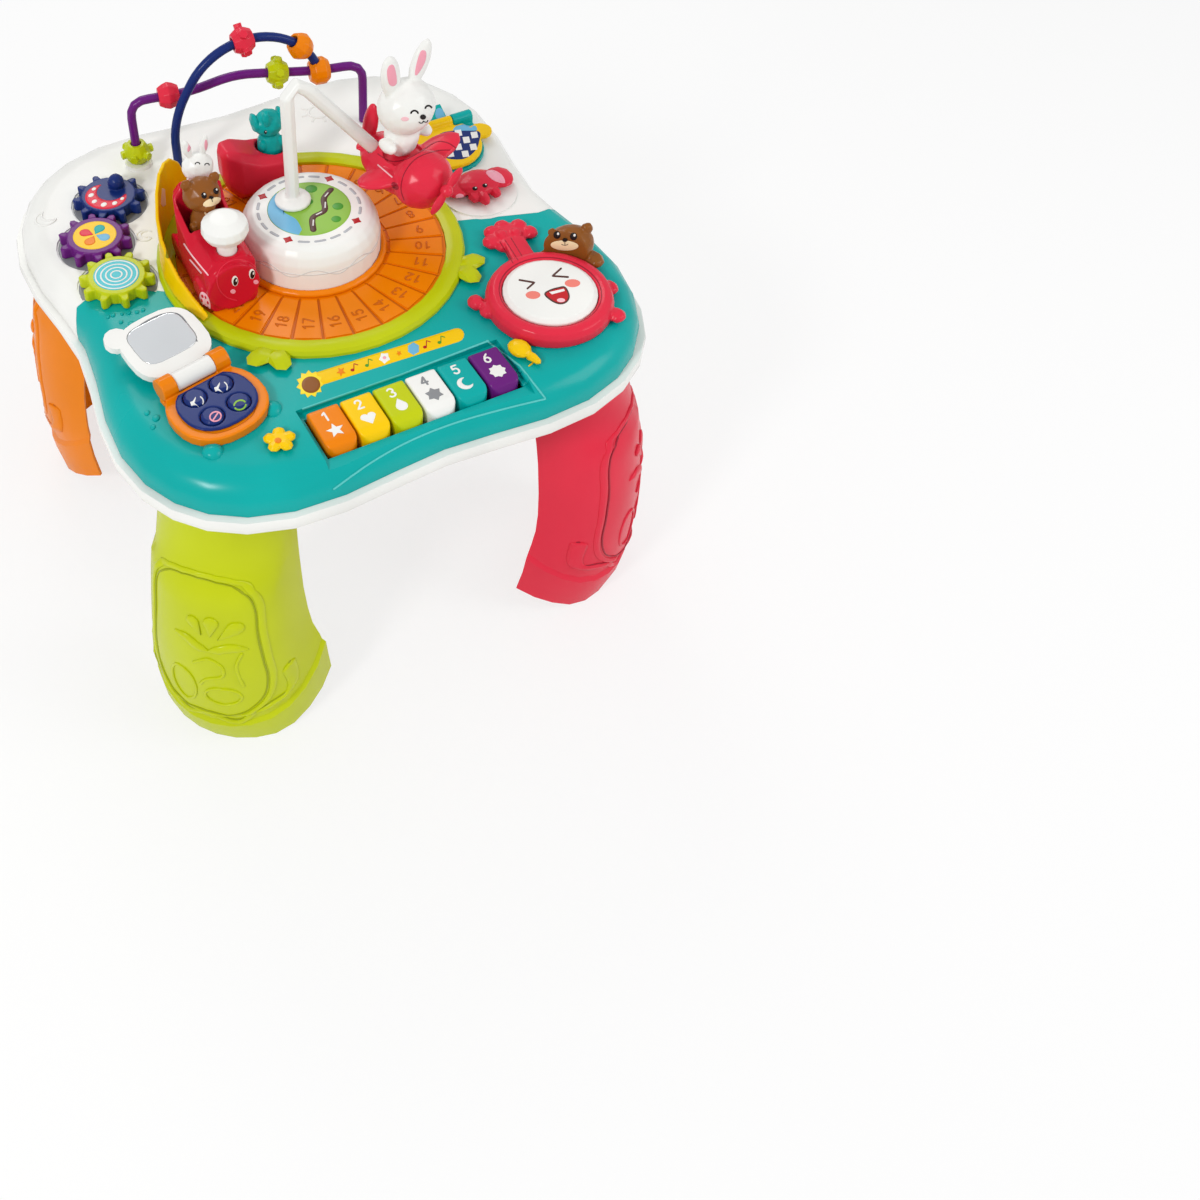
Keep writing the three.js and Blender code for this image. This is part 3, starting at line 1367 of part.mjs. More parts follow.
function wiresAndBeads() {
  const purpleWire = bar(purplePath(), wireRadius, 44);
  const blueWire = bar(bluePath(), wireRadius, 34);
  const jointAt = overPurple(jointX, jointRise);
  const jointWay = overPurple(purpleRightX, 0).sub(overPurple(jointX, 0));
  const joint = laid(lathe([
    [0, -beadHalf], [beadRadius * 0.7, -beadHalf], [beadRadius, -beadHalf / 2], [beadRadius, beadHalf / 2],
    [beadRadius * 0.7, beadHalf], [0, beadHalf],
  ], 14), jointAt, jointWay);
  const grown = joined(bar(purplePath(), wireRadius + fit, 44), bar(bluePath(), wireRadius + fit, 34));
  piece("wire_purple", purpleWire, purple, 0.25);
  piece("wire_blue", blueWire.subtract(bar(purplePath(), wireRadius + fit, 44)), navy, 0.25);
  piece("wire_joint", joint.subtract(grown), orange, 0.3);

  const lowWay = overPurple(lowRunEnd, 0).sub(overPurple(purpleLeftX, 0));
  const highFrom = overPurple(highRunStart, highRun);
  const highWay = overPurple(jointX, jointRise).sub(highFrom);
  const up = vector(0, 0, 1);
  const lowerZ = wireBossHeight + fit * 2 + beadHalf;
  const lower = overPurple(purpleLeftX, lowerZ);
  piece("bead_green_lower", laid(knobbed(bead(beadGap), 6), lower, up), green, 0.3);
  const onLow = overPurple((purpleLeftX + lowRunEnd) / 2 + wireBend / 2, lowRun);
  piece("bead_red", laid(bead(beadGap), onLow, lowWay), red, 0.3);
  const onHigh = highFrom.clone().addScaledVector(highWay, 1 / 2);
  piece("bead_green_upper", laid(knobbed(bead(beadGap), 6), onHigh, highWay), green, 0.3);
  const hung = (degrees) => [onArc(degrees), onArc(degrees - 1).sub(onArc(degrees + 1))];
  piece("bead_flower", laid(knobbed(bead(curvedBeadGap), 5), ...hung(95)), red, 0.3);
  piece("bead_orange", laid(bead(curvedBeadGap), ...hung(45)), orange, 0.3);
}

baseTray();
innards();
topShells();
legs.forEach((entry) => leg(...entry));
trackPlate();
trackRing();
tunnelPanel();
hub();
carouselRing();
train();
riders();
boat();
planeArm();
plane();
pianoKeys();
gears();
drum();
drumBear();
phone();
phoneCover();
lights();
book();
elephantButton();
wiresAndBeads();

export default group;
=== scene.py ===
import json
import math

import bpy
from mathutils import Matrix, Vector
from mathutils.bvhtree import BVHTree


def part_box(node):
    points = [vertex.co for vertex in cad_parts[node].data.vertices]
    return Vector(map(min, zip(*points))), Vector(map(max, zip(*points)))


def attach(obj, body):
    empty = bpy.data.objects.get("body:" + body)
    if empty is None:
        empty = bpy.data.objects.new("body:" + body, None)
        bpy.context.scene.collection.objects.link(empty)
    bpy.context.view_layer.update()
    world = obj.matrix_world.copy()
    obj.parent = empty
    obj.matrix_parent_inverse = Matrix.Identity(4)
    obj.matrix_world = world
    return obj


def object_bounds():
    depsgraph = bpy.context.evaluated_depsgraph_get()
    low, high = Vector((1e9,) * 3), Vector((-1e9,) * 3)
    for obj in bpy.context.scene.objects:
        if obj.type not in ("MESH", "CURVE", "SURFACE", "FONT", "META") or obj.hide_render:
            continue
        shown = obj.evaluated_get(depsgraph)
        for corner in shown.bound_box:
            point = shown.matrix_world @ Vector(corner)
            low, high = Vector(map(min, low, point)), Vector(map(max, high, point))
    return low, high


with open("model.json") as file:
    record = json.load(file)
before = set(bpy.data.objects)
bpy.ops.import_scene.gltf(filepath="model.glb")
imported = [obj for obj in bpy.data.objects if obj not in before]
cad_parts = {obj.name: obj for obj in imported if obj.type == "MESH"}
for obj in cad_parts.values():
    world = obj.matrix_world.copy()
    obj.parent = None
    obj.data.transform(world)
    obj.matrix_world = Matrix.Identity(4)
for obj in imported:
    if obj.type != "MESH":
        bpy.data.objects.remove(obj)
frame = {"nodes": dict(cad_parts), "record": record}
cad_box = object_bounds()

MM = 0.001
UPWARD = Vector((0, 0, 1))

# Height of the play surface, in millimetres
TOP = 320.0


def middle_mm(name):
    """Middle of a CAD node's box seen from above, in millimetres."""
    low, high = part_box(name)
    return Vector(((low[0] + high[0]) / 2, (low[1] + high[1]) / 2, 0)) / MM


# Places in millimetres count from the carousel's axis
AXIS_MM = middle_mm("hub")


def centre(name):
    """Middle of a CAD node seen from above, in millimetres from the carousel's axis."""
    return tuple((middle_mm(name) - AXIS_MM)[:2])


# Camera that matches the photograph, in its own 1200 pixel frame
EYE = Vector((-0.3463, -0.8164, 1.0786))
BACK = Vector((-0.29367, -0.59271, 0.74997))
RIGHT = Vector((0.89605, -0.44397, 0.0))
FOCAL_PX = 1382.448
AXIS_PX = (382.361, 441.414)
FRAME_PX = 1200
SENSOR_MM = 36.0


def camera_axes():
    """Right, up and back as unit vectors at right angles."""
    back = BACK.normalized()
    right = (RIGHT - back * RIGHT.dot(back)).normalized()
    return right, back.cross(right), back


CAMERA_AXES = camera_axes()


def link(obj):
    bpy.context.scene.collection.objects.link(obj)


def add_camera():
    right, up, back = CAMERA_AXES
    data = bpy.data.cameras.new("camera")
    data.sensor_width = SENSOR_MM
    data.lens = FOCAL_PX / FRAME_PX * SENSOR_MM
    data.shift_x = 0.5 - AXIS_PX[0] / FRAME_PX
    data.shift_y = AXIS_PX[1] / FRAME_PX - 0.5
    camera = bpy.data.objects.new("camera", data)
    rows = [[right[i], up[i], back[i], EYE[i]] for i in range(3)] + [[0, 0, 0, 1]]
    camera.matrix_world = Matrix(rows)
    link(camera)
    bpy.context.scene.camera = camera


# Materials

COLOURS = {
    "teal": "#00a9a5", "white": "#f0f0ec", "green": "#c0cb0c", "red": "#e02c44", "orange": "#ee8300",
    "yellow": "#f7c900", "purple": "#6a1c7a", "navy": "#152c70", "brown": "#8d5420", "grey": "#8b8d90",
    "board": "#1f6b3a", "cream": "#f6dfb4", "pink": "#f2a3b4", "black": "#1c1416", "rose": "#f6c3cb",
    # The pale teal here is a painted highlight on the lip of the keys' bay
    "sky": "#6fb6dc", "cyan": "#49c3cf", "pale_teal": "#5cc9c5", "leaf": "#8fbf47", "hedge": "#4a9a30",
    "olive": "#8f8a10", "blush": "#ef8478", "wood": "#573630", "mark": "#b4161f", "mouth": "#c4262c",
    "dash": "#b3b5ba", "line": "#d3d3d1", "train_red": "#d0142f", "bright_yellow": "#ffdf33",
    # The dark tones also draw painted shade along the legs' emblems and on the track plate's grooves and
    # numbers
    "dark_red": "#9d1d31", "dark_orange": "#c96400", "dark_yellow": "#d8a405", "dark_green": "#9aa40a",
}
MIRROR_COLOUR = "#dfe3e6"
MIRROR_METAL = 0.42

# Slow drift of colour and gloss over a moulding
DRIFT_SCALE, DRIFT_DETAIL = 14, 2
DARKEST_SHARE, LIGHTEST_SHARE = 0.955, 1.03
DARKEST_FROM, LIGHTEST_FROM = 0.3, 0.7
GLOSSIEST_SHARE, DULLEST_SHARE = 0.85, 1.2

# Fine orange-peel skin of a moulding
SKIN_SCALE, SKIN_DETAIL = 900, 3
SKIN_DEPTH = 0.4 * MM

SPECULAR = 0.16
COAT_ROUGHNESS = 0.2


def linear(text):
    """Red, green and blue of a web colour on the linear scale."""
    parts = [int(text[i:i + 2], 16) / 255 for i in (1, 3, 5)]
    return [p / 12.92 if p <= 0.04045 else ((p + 0.055) / 1.055) ** 2.4 for p in parts]


def noise(nodes, scale, detail):
    texture = nodes.new("ShaderNodeTexNoise")
    texture.inputs["Scale"].default_value = scale
    texture.inputs["Detail"].default_value = detail
    return texture


def tint_ramp(nodes, base):
    """From a slightly darker to a slightly lighter tone of the base colour."""
    ramp = nodes.new("ShaderNodeValToRGB")
    low, high = ramp.color_ramp.elements
    low.position, high.position = DARKEST_FROM, LIGHTEST_FROM
    low.color = [c * DARKEST_SHARE for c in base] + [1]
    high.color = [min(1.0, c * LIGHTEST_SHARE) for c in base] + [1]
    return ramp


def plastic(name, colour, roughness=0.25, grain=0.02, coat=0.08):
    """Moulded plastic: slight colour drift, uneven gloss and a fine orange-peel skin."""
    material = bpy.data.materials.new(name)
    material.use_nodes = True
    nodes, links = material.node_tree.nodes, material.node_tree.links
    shader = nodes["Principled BSDF"]
    place = nodes.new("ShaderNodeTexCoord")
    drift = noise(nodes, DRIFT_SCALE, DRIFT_DETAIL)
    skin = noise(nodes, SKIN_SCALE, SKIN_DETAIL)
    tint = tint_ramp(nodes, linear(colour))
    rough = nodes.new("ShaderNodeMapRange")
    rough.inputs["To Min"].default_value = roughness * GLOSSIEST_SHARE
    rough.inputs["To Max"].default_value = roughness * DULLEST_SHARE
    bump = nodes.new("ShaderNodeBump")
    bump.inputs["Strength"].default_value = grain
    bump.inputs["Distance"].default_value = SKIN_DEPTH
    for texture in (drift, skin):
        links.new(place.outputs["Object"], texture.inputs["Vector"])
    links.new(drift.outputs["Fac"], tint.inputs["Fac"])
    links.new(tint.outputs["Color"], shader.inputs["Base Color"])
    links.new(drift.outputs["Fac"], rough.inputs["Value"])
    links.new(rough.outputs["Result"], shader.inputs["Roughness"])
    links.new(skin.outputs["Fac"], bump.inputs["Height"])
    links.new(bump.outputs["Normal"], shader.inputs["Normal"])
    shader.inputs["Specular IOR Level"].default_value = SPECULAR
    shader.inputs["Coat Weight"].default_value = coat
    shader.inputs["Coat Roughness"].default_value = COAT_ROUGHNESS
    return material


def mirror_material():
    """Thin mirror foil, which shines less than glass."""
    material = plastic("mirror", MIRROR_COLOUR, roughness=0.06, grain=0.01, coat=0.0)
    material.node_tree.nodes["Principled BSDF"].inputs["Metallic"].default_value = MIRROR_METAL
    return material


MATERIALS = {name: plastic(name, colour) for name, colour in COLOURS.items()}
MATERIALS["mirror"] = mirror_material()

RECORD_SLOTS = {part["material_slot"] for part in frame["record"]["subparts"]}
NODE_COLOURS = {part["node"]: part["material_slot"] for part in frame["record"]["subparts"]}
NODE_COLOURS.update({"key_4": "white", "train_body": "train_red"})


# Surfaces of the CAD nodes

# How often each node's corners are smoothed, where it isn't the usual number
USUAL_SOFTNESS = 5
KEYS = tuple(f"key_{i}" for i in range(1, 7))
SOFTNESS = {
    "boat_body": 50, "boat_elephant": 8, "train_body": 18, "train_chimney": 26, "train_bear": 24,
    "train_rabbit": 16, "plane_body": 26, "plane_rabbit": 30, "plane_arm": 8, "propeller": 10, "hub": 16,
    "drum_frame": 12, "drum_bear": 20, "phone_base": 8, "elephant_button": 4, "flower_light": 10,
    "balloon_light": 10, "gear_back": 9, "gear_middle": 9, "gear_front": 9, "wire_purple": 10,
    "wire_blue": 10, "wire_joint": 8, "bead_red": 10, "bead_orange": 10, "bead_flower": 6,
    "bead_green_lower": 6, "bead_green_upper": 6, **dict.fromkeys(KEYS, 40),
}
SMOOTH_FACTOR = 0.5

# Nodes past the large length keep their own faces, and the others are rebuilt from cubes
LARGE_MM, MEDIUM_MM, SMALL_MM = 200, 90, 45

# Edges of those cubes: up to the large length, the medium one and the small one
COARSE_MM, MIDDLING_MM, FINE_MM = 0.8, 0.6, 0.4
SPLIT_ANGLE = math.radians(32)
WELD_METRES = 1e-6


def keeps_faces(name, reach):
    """True for the large mouldings, but not for the bead wires, and for the thin phone cover."""
    return reach > LARGE_MM and not name.startswith("wire") or name == "phone_cover"


def cube_edge(name, reach):
    if reach < SMALL_MM or name == "elephant_button":
        return FINE_MM * MM
    return (MIDDLING_MM if reach < MEDIUM_MM else COARSE_MM) * MM


def dress_nodes():
    """Gives every CAD node its material, merged corners and rounded mould edges."""
    for name, obj in frame["nodes"].items():
        obj.data.materials.clear()
        obj.data.materials.append(MATERIALS[NODE_COLOURS[name]])
        for polygon in obj.data.polygons:
            polygon.use_smooth = True
            polygon.material_index = 0
        low, high = (Vector(corner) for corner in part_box(name))
        reach = max(high - low) / MM
        weld = obj.modifiers.new("weld", "WELD")
        weld.merge_threshold = WELD_METRES
        if keeps_faces(name, reach):
            split = obj.modifiers.new("split", "EDGE_SPLIT")
            split.split_angle = SPLIT_ANGLE
            continue
        remesh = obj.modifiers.new("remesh", "REMESH")
        remesh.mode = "VOXEL"
        remesh.voxel_size = cube_edge(name, reach)
        remesh.use_smooth_shade = True
        smooth = obj.modifiers.new("smooth", "SMOOTH")
        smooth.factor = SMOOTH_FACTOR
        smooth.iterations = SOFTNESS.get(name, USUAL_SOFTNESS)


# Places: each turns a point of a flat shape into a ray toward the body that carries it

class Flat:
    """A place whose shapes are turned, scaled and moved in their own plane."""

    def __init__(self, x=0.0, y=0.0, turn=0.0, size=1.0):
        self.x, self.y, self.size = x, y, size
        self.cos, self.sin = math.cos(math.radians(turn)), math.sin(math.radians(turn))

    def spot(self, a, b):
        x = self.x + (a * self.cos - b * self.sin) * self.size
        y = self.y + (a * self.sin + b * self.cos) * self.size
        return x, y


class Seen(Flat):
    """Places a shape by pixels of the photograph: a to the right, b downwards."""

    def ray(self, a, b):
        x, y = self.spot(a, b)
        right, up, back = CAMERA_AXES
        along = right * ((x - AXIS_PX[0]) / FOCAL_PX) + up * ((AXIS_PX[1] - y) / FOCAL_PX) - back
        return EYE.copy(), along.normalized()


class Above(Flat):
    """Places a shape in millimetres on what lies below it: a along +X and b along +Y before its turn."""

    start = TOP + 120.0

    def ray(self, a, b):
        return (AXIS_MM + Vector((*self.spot(a, b), self.start))) * MM, -UPWARD


class Facing:
    """Places a shape in millimetres on the surface that faces a chosen way."""

    start = 160

    def __init__(self, origin, toward):
        self.origin = origin
        self.toward = Vector(toward).normalized()
        self.right = UPWARD.cross(self.toward).normalized()
        self.up = self.toward.cross(self.right)

    def ray(self, a, b):
        point = self.origin + self.right * a + self.up * b
        return (AXIS_MM + point + self.toward * self.start) * MM, -self.toward


class Around:
    """Places a shape on a round body in the middle: a along its rim, b above the table top."""

    start = 60

    def __init__(self, radius):
        self.radius = radius

    def ray(self, a, b):
        angle = a / self.radius
        out = Vector((math.cos(angle), math.sin(angle), 0))
        return (AXIS_MM + out * (self.radius + self.start) + UPWARD * (TOP + b)) * MM, -out


TREES = {}


def surface(name):
    """The finished surface of a CAD node, to cast rays at."""
    if name not in TREES:
        shown = frame["nodes"][name].evaluated_get(bpy.context.evaluated_depsgraph_get())
        mesh = shown.to_mesh()
        corners = [v.co.copy() for v in mesh.vertices]
        faces = [list(p.vertices) for p in mesh.polygons]
        shown.to_mesh_clear()
        TREES[name] = BVHTree.FromPolygons(corners, faces)
    return TREES[name]


# Flat outlines and lines

def polar(reach, degrees):
    return reach * math.cos(math.radians(degrees)), reach * math.sin(math.radians(degrees))


def arc(x, y, rx, ry, start, end, count=14):
    steps = [math.radians(start + (end - start) * i / count) for i in range(count + 1)]
    return [(x + rx * math.cos(t), y + ry * math.sin(t)) for t in steps]


def oval(rx, ry, x=0.0, y=0.0, count=28):
    return arc(x, y, rx, ry, 0, 360, count)[:-1]


def shifted(outline, x, y):
    return [(a + x, b + y) for a, b in outline]


def blend(before, start, end, after, t):
    """One coordinate at share t between start and end, on a smooth line through all four."""
    bend = 2 * before - 5 * start + 4 * end - after
    twist = 3 * start - before - 3 * end + after
    return 0.5 * (2 * start + (end - before) * t + bend * t * t + twist * t ** 3)


def curve(points, closed=False, steps=6):
    """A smooth line through the points."""
    count = len(points)
    line = []
    for i in range(count if closed else count - 1):
        if closed:
            four = [points[(i + k) % count] for k in (-1, 0, 1, 2)]
        else:
            four = [points[min(max(i + k, 0), count - 1)] for k in (-1, 0, 1, 2)]
        for s in range(steps):
            line.append(tuple(blend(*(spot[k] for spot in four), s / steps) for k in (0, 1)))
    return line if closed else line + [points[-1]]


def resampled(path, step):
    """The same line with points at most one step apart."""
    out = [path[0]]
    for start, end in zip(path, path[1:]):
        pieces = max(1, math.ceil(math.dist(start, end) / step))
        for i in range(1, pieces + 1):
            out.append(tuple(start[k] + (end[k] - start[k]) * i / pieces for k in (0, 1)))
    return out


def star(radius, points=5, share=0.45):
    """A star with one point up, whose inner corners lie at a share of its radius."""
    spots = []
    for i in range(2 * points):
        spots.append(polar(radius if i % 2 == 0 else radius * share, 90 + 180 * i / points))
    return spots


def drop(radius, length, turn=0.0):
    """A drop with its tip toward turn."""
    cos, sin = polar(1, turn)
    spots = [(length, 0.0)] + arc(0, 0, radius, radius, 60, 300, 14)
    return [(x * cos - y * sin, x * sin + y * cos) for x, y in spots]


def heart(size):
    side, rise, radius = 0.45 * size, 0.25 * size, 0.5 * size
    left = arc(-side, rise, radius, radius, 200, 20, 9)
    right = arc(side, rise, radius, radius, 160, -20, 9)
    return left + right + [(0, -size)]


# Reliefs: thin raised shapes that follow the surface under them

# Every relief reaches this far into its body, in millimetres
SUNK = -0.5

# A relief rises along the surface's normal by this share, and for the rest toward where it is seen from
NORMAL_SHARE = 0.6

# A patch's rim, from its foot up to its flat: shares of its outline and of its rise
RIM_SHARES = ((1.0, 0.35), (0.975, 0.8), (0.93, 1.0))

# A line's rounded back: shares of its half width and of its rise
BACK_SHARES = ((-0.94, 0.45), (-0.6, 0.88), (0, 1), (0.6, 0.88), (0.94, 0.45))

# A line's round end: how far out its sections stand as shares of the half width, and the least width
CAP_SHARES = (0.45, 0.8, 0.98)
TIP_SHARE = 0.12

# How soon a swelling line grows from its tips
SWELL_POWER = 0.7

# The usual step along a line, as a share of its width
STEP_SHARE = 0.6

# A ray that misses looks as far away as the ray before it hit, and the first one this far, in metres
FIRST_DISTANCE = 0.9


class Relief:
    """Gathers raised shapes of one material on one body into one piece."""

    def __init__(self, name, body, node, colour, slot=None):
        self.name, self.body, self.node, self.colour = name, body, node, colour
        self.slot = slot or (colour if colour in RECORD_SLOTS else None)
        self.corners, self.faces = [], []
        self.last = FIRST_DISTANCE

    def point(self, place, a, b, rise):
        start, along = place.ray(a, b)
        hit, normal, _, distance = surface(self.node).ray_cast(start, along)
        if hit is None:
            hit, normal, _, _ = surface(self.node).find_nearest(start + along * self.last)
        else:
            self.last = distance
        if normal.dot(along) > 0:
            normal = -normal
        spot = hit + (normal * NORMAL_SHARE - along * (1 - NORMAL_SHARE)) * rise * MM
        self.corners.append(Vector(min(max(spot[i], cad_box[0][i]), cad_box[1][i]) for i in range(3)))
        return len(self.corners) - 1

    def patch(self, place, outline, rise=0.25, levels=5, dome=0.0):
        """A filled shape with a softly rounded rim and, if it has a dome, a raised middle."""
        x = sum(p[0] for p in outline) / len(outline)
        y = sum(p[1] for p in outline) / len(outline)
        plan = [(1.0, SUNK)] + [(share, height * rise) for share, height in RIM_SHARES]
        for k in range(1, levels):
            left = 1 - k / levels
            plan.append((RIM_SHARES[-1][0] * left, rise + dome * (1 - left ** 2)))
        rings = []
        for share, height in plan:
            spots = [(x + (p[0] - x) * share, y + (p[1] - y) * share) for p in outline]
            rings.append([self.point(place, *spot, height) for spot in spots])
        count = len(outline)
        middle = self.point(place, x, y, rise + dome)
        for i in range(count):
            j = (i + 1) % count
            for outer, inner in zip(rings, rings[1:]):
                self.faces.append((outer[i], outer[j], inner[j], inner[i]))
            self.faces.append((rings[-1][i], rings[-1][j], middle))
        self.faces.append(tuple(reversed(rings[0])))

    def stroke(self, place, path, width, rise=0.25, step=None, closed=False, swell=False):
        """A line with a rounded back, of even width with round ends, or swelling like a leaf."""
        path = resampled(list(path) + ([path[0]] if closed else []), step or width * STEP_SHARE)
        if closed:
            path = path[:-1]
        count = len(path)
        rows = []
        for i, (a, b) in enumerate(path):
            before = path[i - 1] if i or closed else path[i]
            after = path[(i + 1) % count] if i + 1 < count or closed else path[i]
            run, climb = after[0] - before[0], after[1] - before[1]
            size = math.hypot(run, climb) or 1.0
            share = max(TIP_SHARE, math.sin(math.pi * i / (count - 1)) ** SWELL_POWER) if swell else 1.0
            rows.append((a, b, run / size, climb / size, share))
        if not closed and not swell:
            rows = self.capped(rows, width)
        sections = [self.section(place, row, width, rise) for row in rows]
        pairs = list(zip(sections, sections[1:])) + ([(sections[-1], sections[0])] if closed else [])
        for one, two in pairs:
            size = len(one)
            for k in range(size):
                self.faces.append((one[k], two[k], two[(k + 1) % size], one[(k + 1) % size]))
        if not closed:
            self.faces += [tuple(sections[0]), tuple(reversed(sections[-1]))]

    def section(self, place, row, width, rise):
        """One cut across a line."""
        a, b, dx, dy, share = row
        half, lift = width / 2 * share, rise * share ** 0.5
        profile = [(-1, SUNK)] + [(side, height * lift) for side, height in BACK_SHARES] + [(1, SUNK)]
        return [self.point(place, a - dy * half * side, b + dx * half * side, height)
                for side, height in profile]

    @staticmethod
    def capped(rows, width):
        """Adds rounded ends to a line's rows."""
        for end, way in ((0, -1), (-1, 1)):
            a, b, dx, dy, _ = rows[end]
            cap = []
            for t in CAP_SHARES:
                out = way * width / 2 * t
                cap.append((a + dx * out, b + dy * out, dx, dy, max(TIP_SHARE, math.sqrt(1 - t * t))))
            rows = cap[::-1] + rows if end == 0 else rows + cap
        return rows

    def finish(self):
        mesh = bpy.data.meshes.new(self.name)
        mesh.from_pydata([tuple(c) for c in self.corners], [], self.faces)
        mesh.validate()
        for polygon in mesh.polygons:
            polygon.use_smooth = True
        obj = bpy.data.objects.new(self.name, mesh)
        link(obj)
        mesh.materials.append(MATERIALS[self.colour])
        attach(obj, self.body)


def add_patch(name, body, node, colour, place, outline, **form):
    relief = Relief(name, body, node, colour)
    relief.patch(place, outline, **form)
    relief.finish()


def add_stroke(name, body, node, colour, place, path, **form):
    relief = Relief(name, body, node, colour)
    relief.stroke(place, path, **form)
    relief.finish()


# Step along fine lines: in pixels where pixels place them, and in millimetres in numbers
FINE_STEP = 0.9

# An eye's glint: shares of the eye's size, and how far right and up it stands
GLINT_SHARE, GLINT_RIGHT_SHARE, GLINT_UP_SHARE = 0.34, 0.3, 0.35

# A moon: shares of its radius for its spine, width and step, and half of its opening in degrees
MOON_SPINE_SHARE, MOON_WIDTH_SHARE, MOON_STEP_SHARE = 0.7, 0.62, 0.12
MOON_OPENING = 62


def marks(name, body, node, colour, lines=(), patches=(), width=1.0, rise=0.3):
    """Lines and filled shapes of one colour, placed by pixels of the photograph."""
    relief = Relief(name, body, node, colour)
    for path in lines:
        relief.stroke(Seen(), path, width, rise, step=FINE_STEP)
    for outline in patches:
        relief.patch(Seen(), outline, rise=rise, levels=4)
    relief.finish()


def eyes(prefix, body, node, spots_px, rx, ry, tilt=0.0):
    """Round dark eyes with a white glint, placed by pixels of the photograph."""
    glint = oval(rx * GLINT_SHARE, ry * GLINT_SHARE, rx * GLINT_RIGHT_SHARE, -ry * GLINT_UP_SHARE, 14)
    dark = Relief(prefix + "_eyes", body, node, "black")
    light = Relief(prefix + "_eye_glints", body, node, "white")
    for x, y in spots_px:
        dark.patch(Seen(x, y, tilt), oval(rx, ry), rise=0.35, levels=4, dome=0.25)
        light.patch(Seen(x, y, tilt), glint, rise=0.75, levels=2)
    dark.finish()
    light.finish()


def crescent(relief, place, radius, turn, rise):
    """A moon that opens toward turn."""
    reach = radius * MOON_SPINE_SHARE
    spine = arc(0, 0, reach, reach, turn + MOON_OPENING, turn + 360 - MOON_OPENING, 24)
    relief.stroke(place, spine, radius * MOON_WIDTH_SHARE, rise, step=radius * MOON_STEP_SHARE, swell=True)


# Plain numbers drawn as lines in a box 1 high
DIGIT_WIDE, DIGIT_GAP = 0.6, 0.22
DIGITS = {
    "0": [arc(0.3, 0.5, 0.26, 0.5, 90, 450, 24)],
    "1": [[(0.1, 0.76), (0.34, 1), (0.34, 0)]],
    "2": [arc(0.3, 0.72, 0.26, 0.28, 170, -35) + [(0.04, 0), (0.58, 0)]],
    "3": [arc(0.28, 0.76, 0.25, 0.24, 150, -90) + arc(0.28, 0.26, 0.29, 0.26, 90, -150)],
    "4": [[(0.44, 0), (0.44, 1), (0.02, 0.3), (0.6, 0.3)]],
    "5": [[(0.54, 1), (0.12, 1), (0.08, 0.58)] + arc(0.28, 0.32, 0.28, 0.32, 120, -150)],
    "6": [[(0.48, 1), (0.22, 0.76)] + arc(0.3, 0.3, 0.26, 0.3, 150, 510, 22)],
    "7": [[(0.02, 1), (0.56, 1), (0.2, 0)]],
    "8": [arc(0.3, 0.75, 0.22, 0.24, 90, 450, 18), arc(0.3, 0.26, 0.27, 0.26, 90, 450, 20)],
    "9": [arc(0.3, 0.7, 0.26, 0.3, -40, 320, 22) + [(0.5, 0.4), (0.3, 0)]],
}


def number(relief, place, text, height, width, rise):
    """Writes a plain number about the place's origin."""
    span = DIGIT_WIDE * len(text) + DIGIT_GAP * (len(text) - 1)
    for i, digit in enumerate(text):
        left = i * (DIGIT_WIDE + DIGIT_GAP) - span / 2
        for path in DIGITS[digit]:
            spots = [((x + left) * height, (y - 0.5) * height) for x, y in path]
            relief.stroke(place, spots, width, rise, step=FINE_STEP)


# The carousel's plate and hub

WEDGES = 28


# Dark orange lines on the plate's own orange plastic, painted shade in the grooves between the wedges
def add_track_groove_shade():
    reaches = (64, 80, 96, 110)
    relief = Relief("track_groove_shade", "table", "track_plate", "dark_orange", "orange")
    for i in range(WEDGES):
        path = [polar(reach, 360 / WEDGES * (i + 0.5)) for reach in reaches]
        relief.stroke(Above(), path, width=2.0, rise=0.1, step=4)
    relief.finish()


def add_track_numbers():
    reach = 93
    # Numbers raised in the plate's own orange plastic, drawn darker orange as painted shade
    relief = Relief("track_numbers", "table", "track_plate", "dark_orange", "orange")
    for i in range(WEDGES):
        angle = 90 - 360 / WEDGES * i
        place = Above(*polar(reach, angle), turn=angle + 180)
        number(relief, place, str(i + 1), height=8.5, width=1.5, rise=0.7)
    relief.finish()


def add_hub_picture():
    """A round picture of a pond, a road and bushes."""
    hub = ("carousel", "hub")
    radius, inset = 34, 0.4
    shore = curve([(-16, -22), (-15, -8), (-20, 6), (-12, 20)])
    pond = arc(0, 0, radius - inset, radius - inset, 118, 232, 20) + shore
    road = curve([(-8, -26), (-2, -12), (10, -8), (16, 6), (26, 14)])
    road_dashes = ([(-6, -21), (-3, -15)], [(2, -10), (7, -9)], [(12, -5), (15, 1)], [(18, 8), (22, 11)])
    bushes = ((12, 22, 5), (22, -8, 4.5), (3, 8, 4), (14, -22, 4))
    add_patch("hub_picture", *hub, "leaf", Above(), oval(radius, radius, count=48), rise=0.2, levels=6)
    add_patch("hub_picture_pond", *hub, "sky", Above(), pond, rise=0.34)
    add_stroke("hub_picture_road", *hub, "wood", Above(), road, width=6, rise=0.36, step=2)
    dashes = Relief("hub_picture_dashes", *hub, "white")
    for path in road_dashes:
        dashes.stroke(Above(), path, width=1.4, rise=0.55, step=1)
    dashes.finish()
    trees = Relief("hub_picture_bushes", *hub, "hedge")
    for x, y, size in bushes:
        trees.patch(Above(x, y), oval(size, size), rise=0.36, dome=0.2)
    trees.finish()


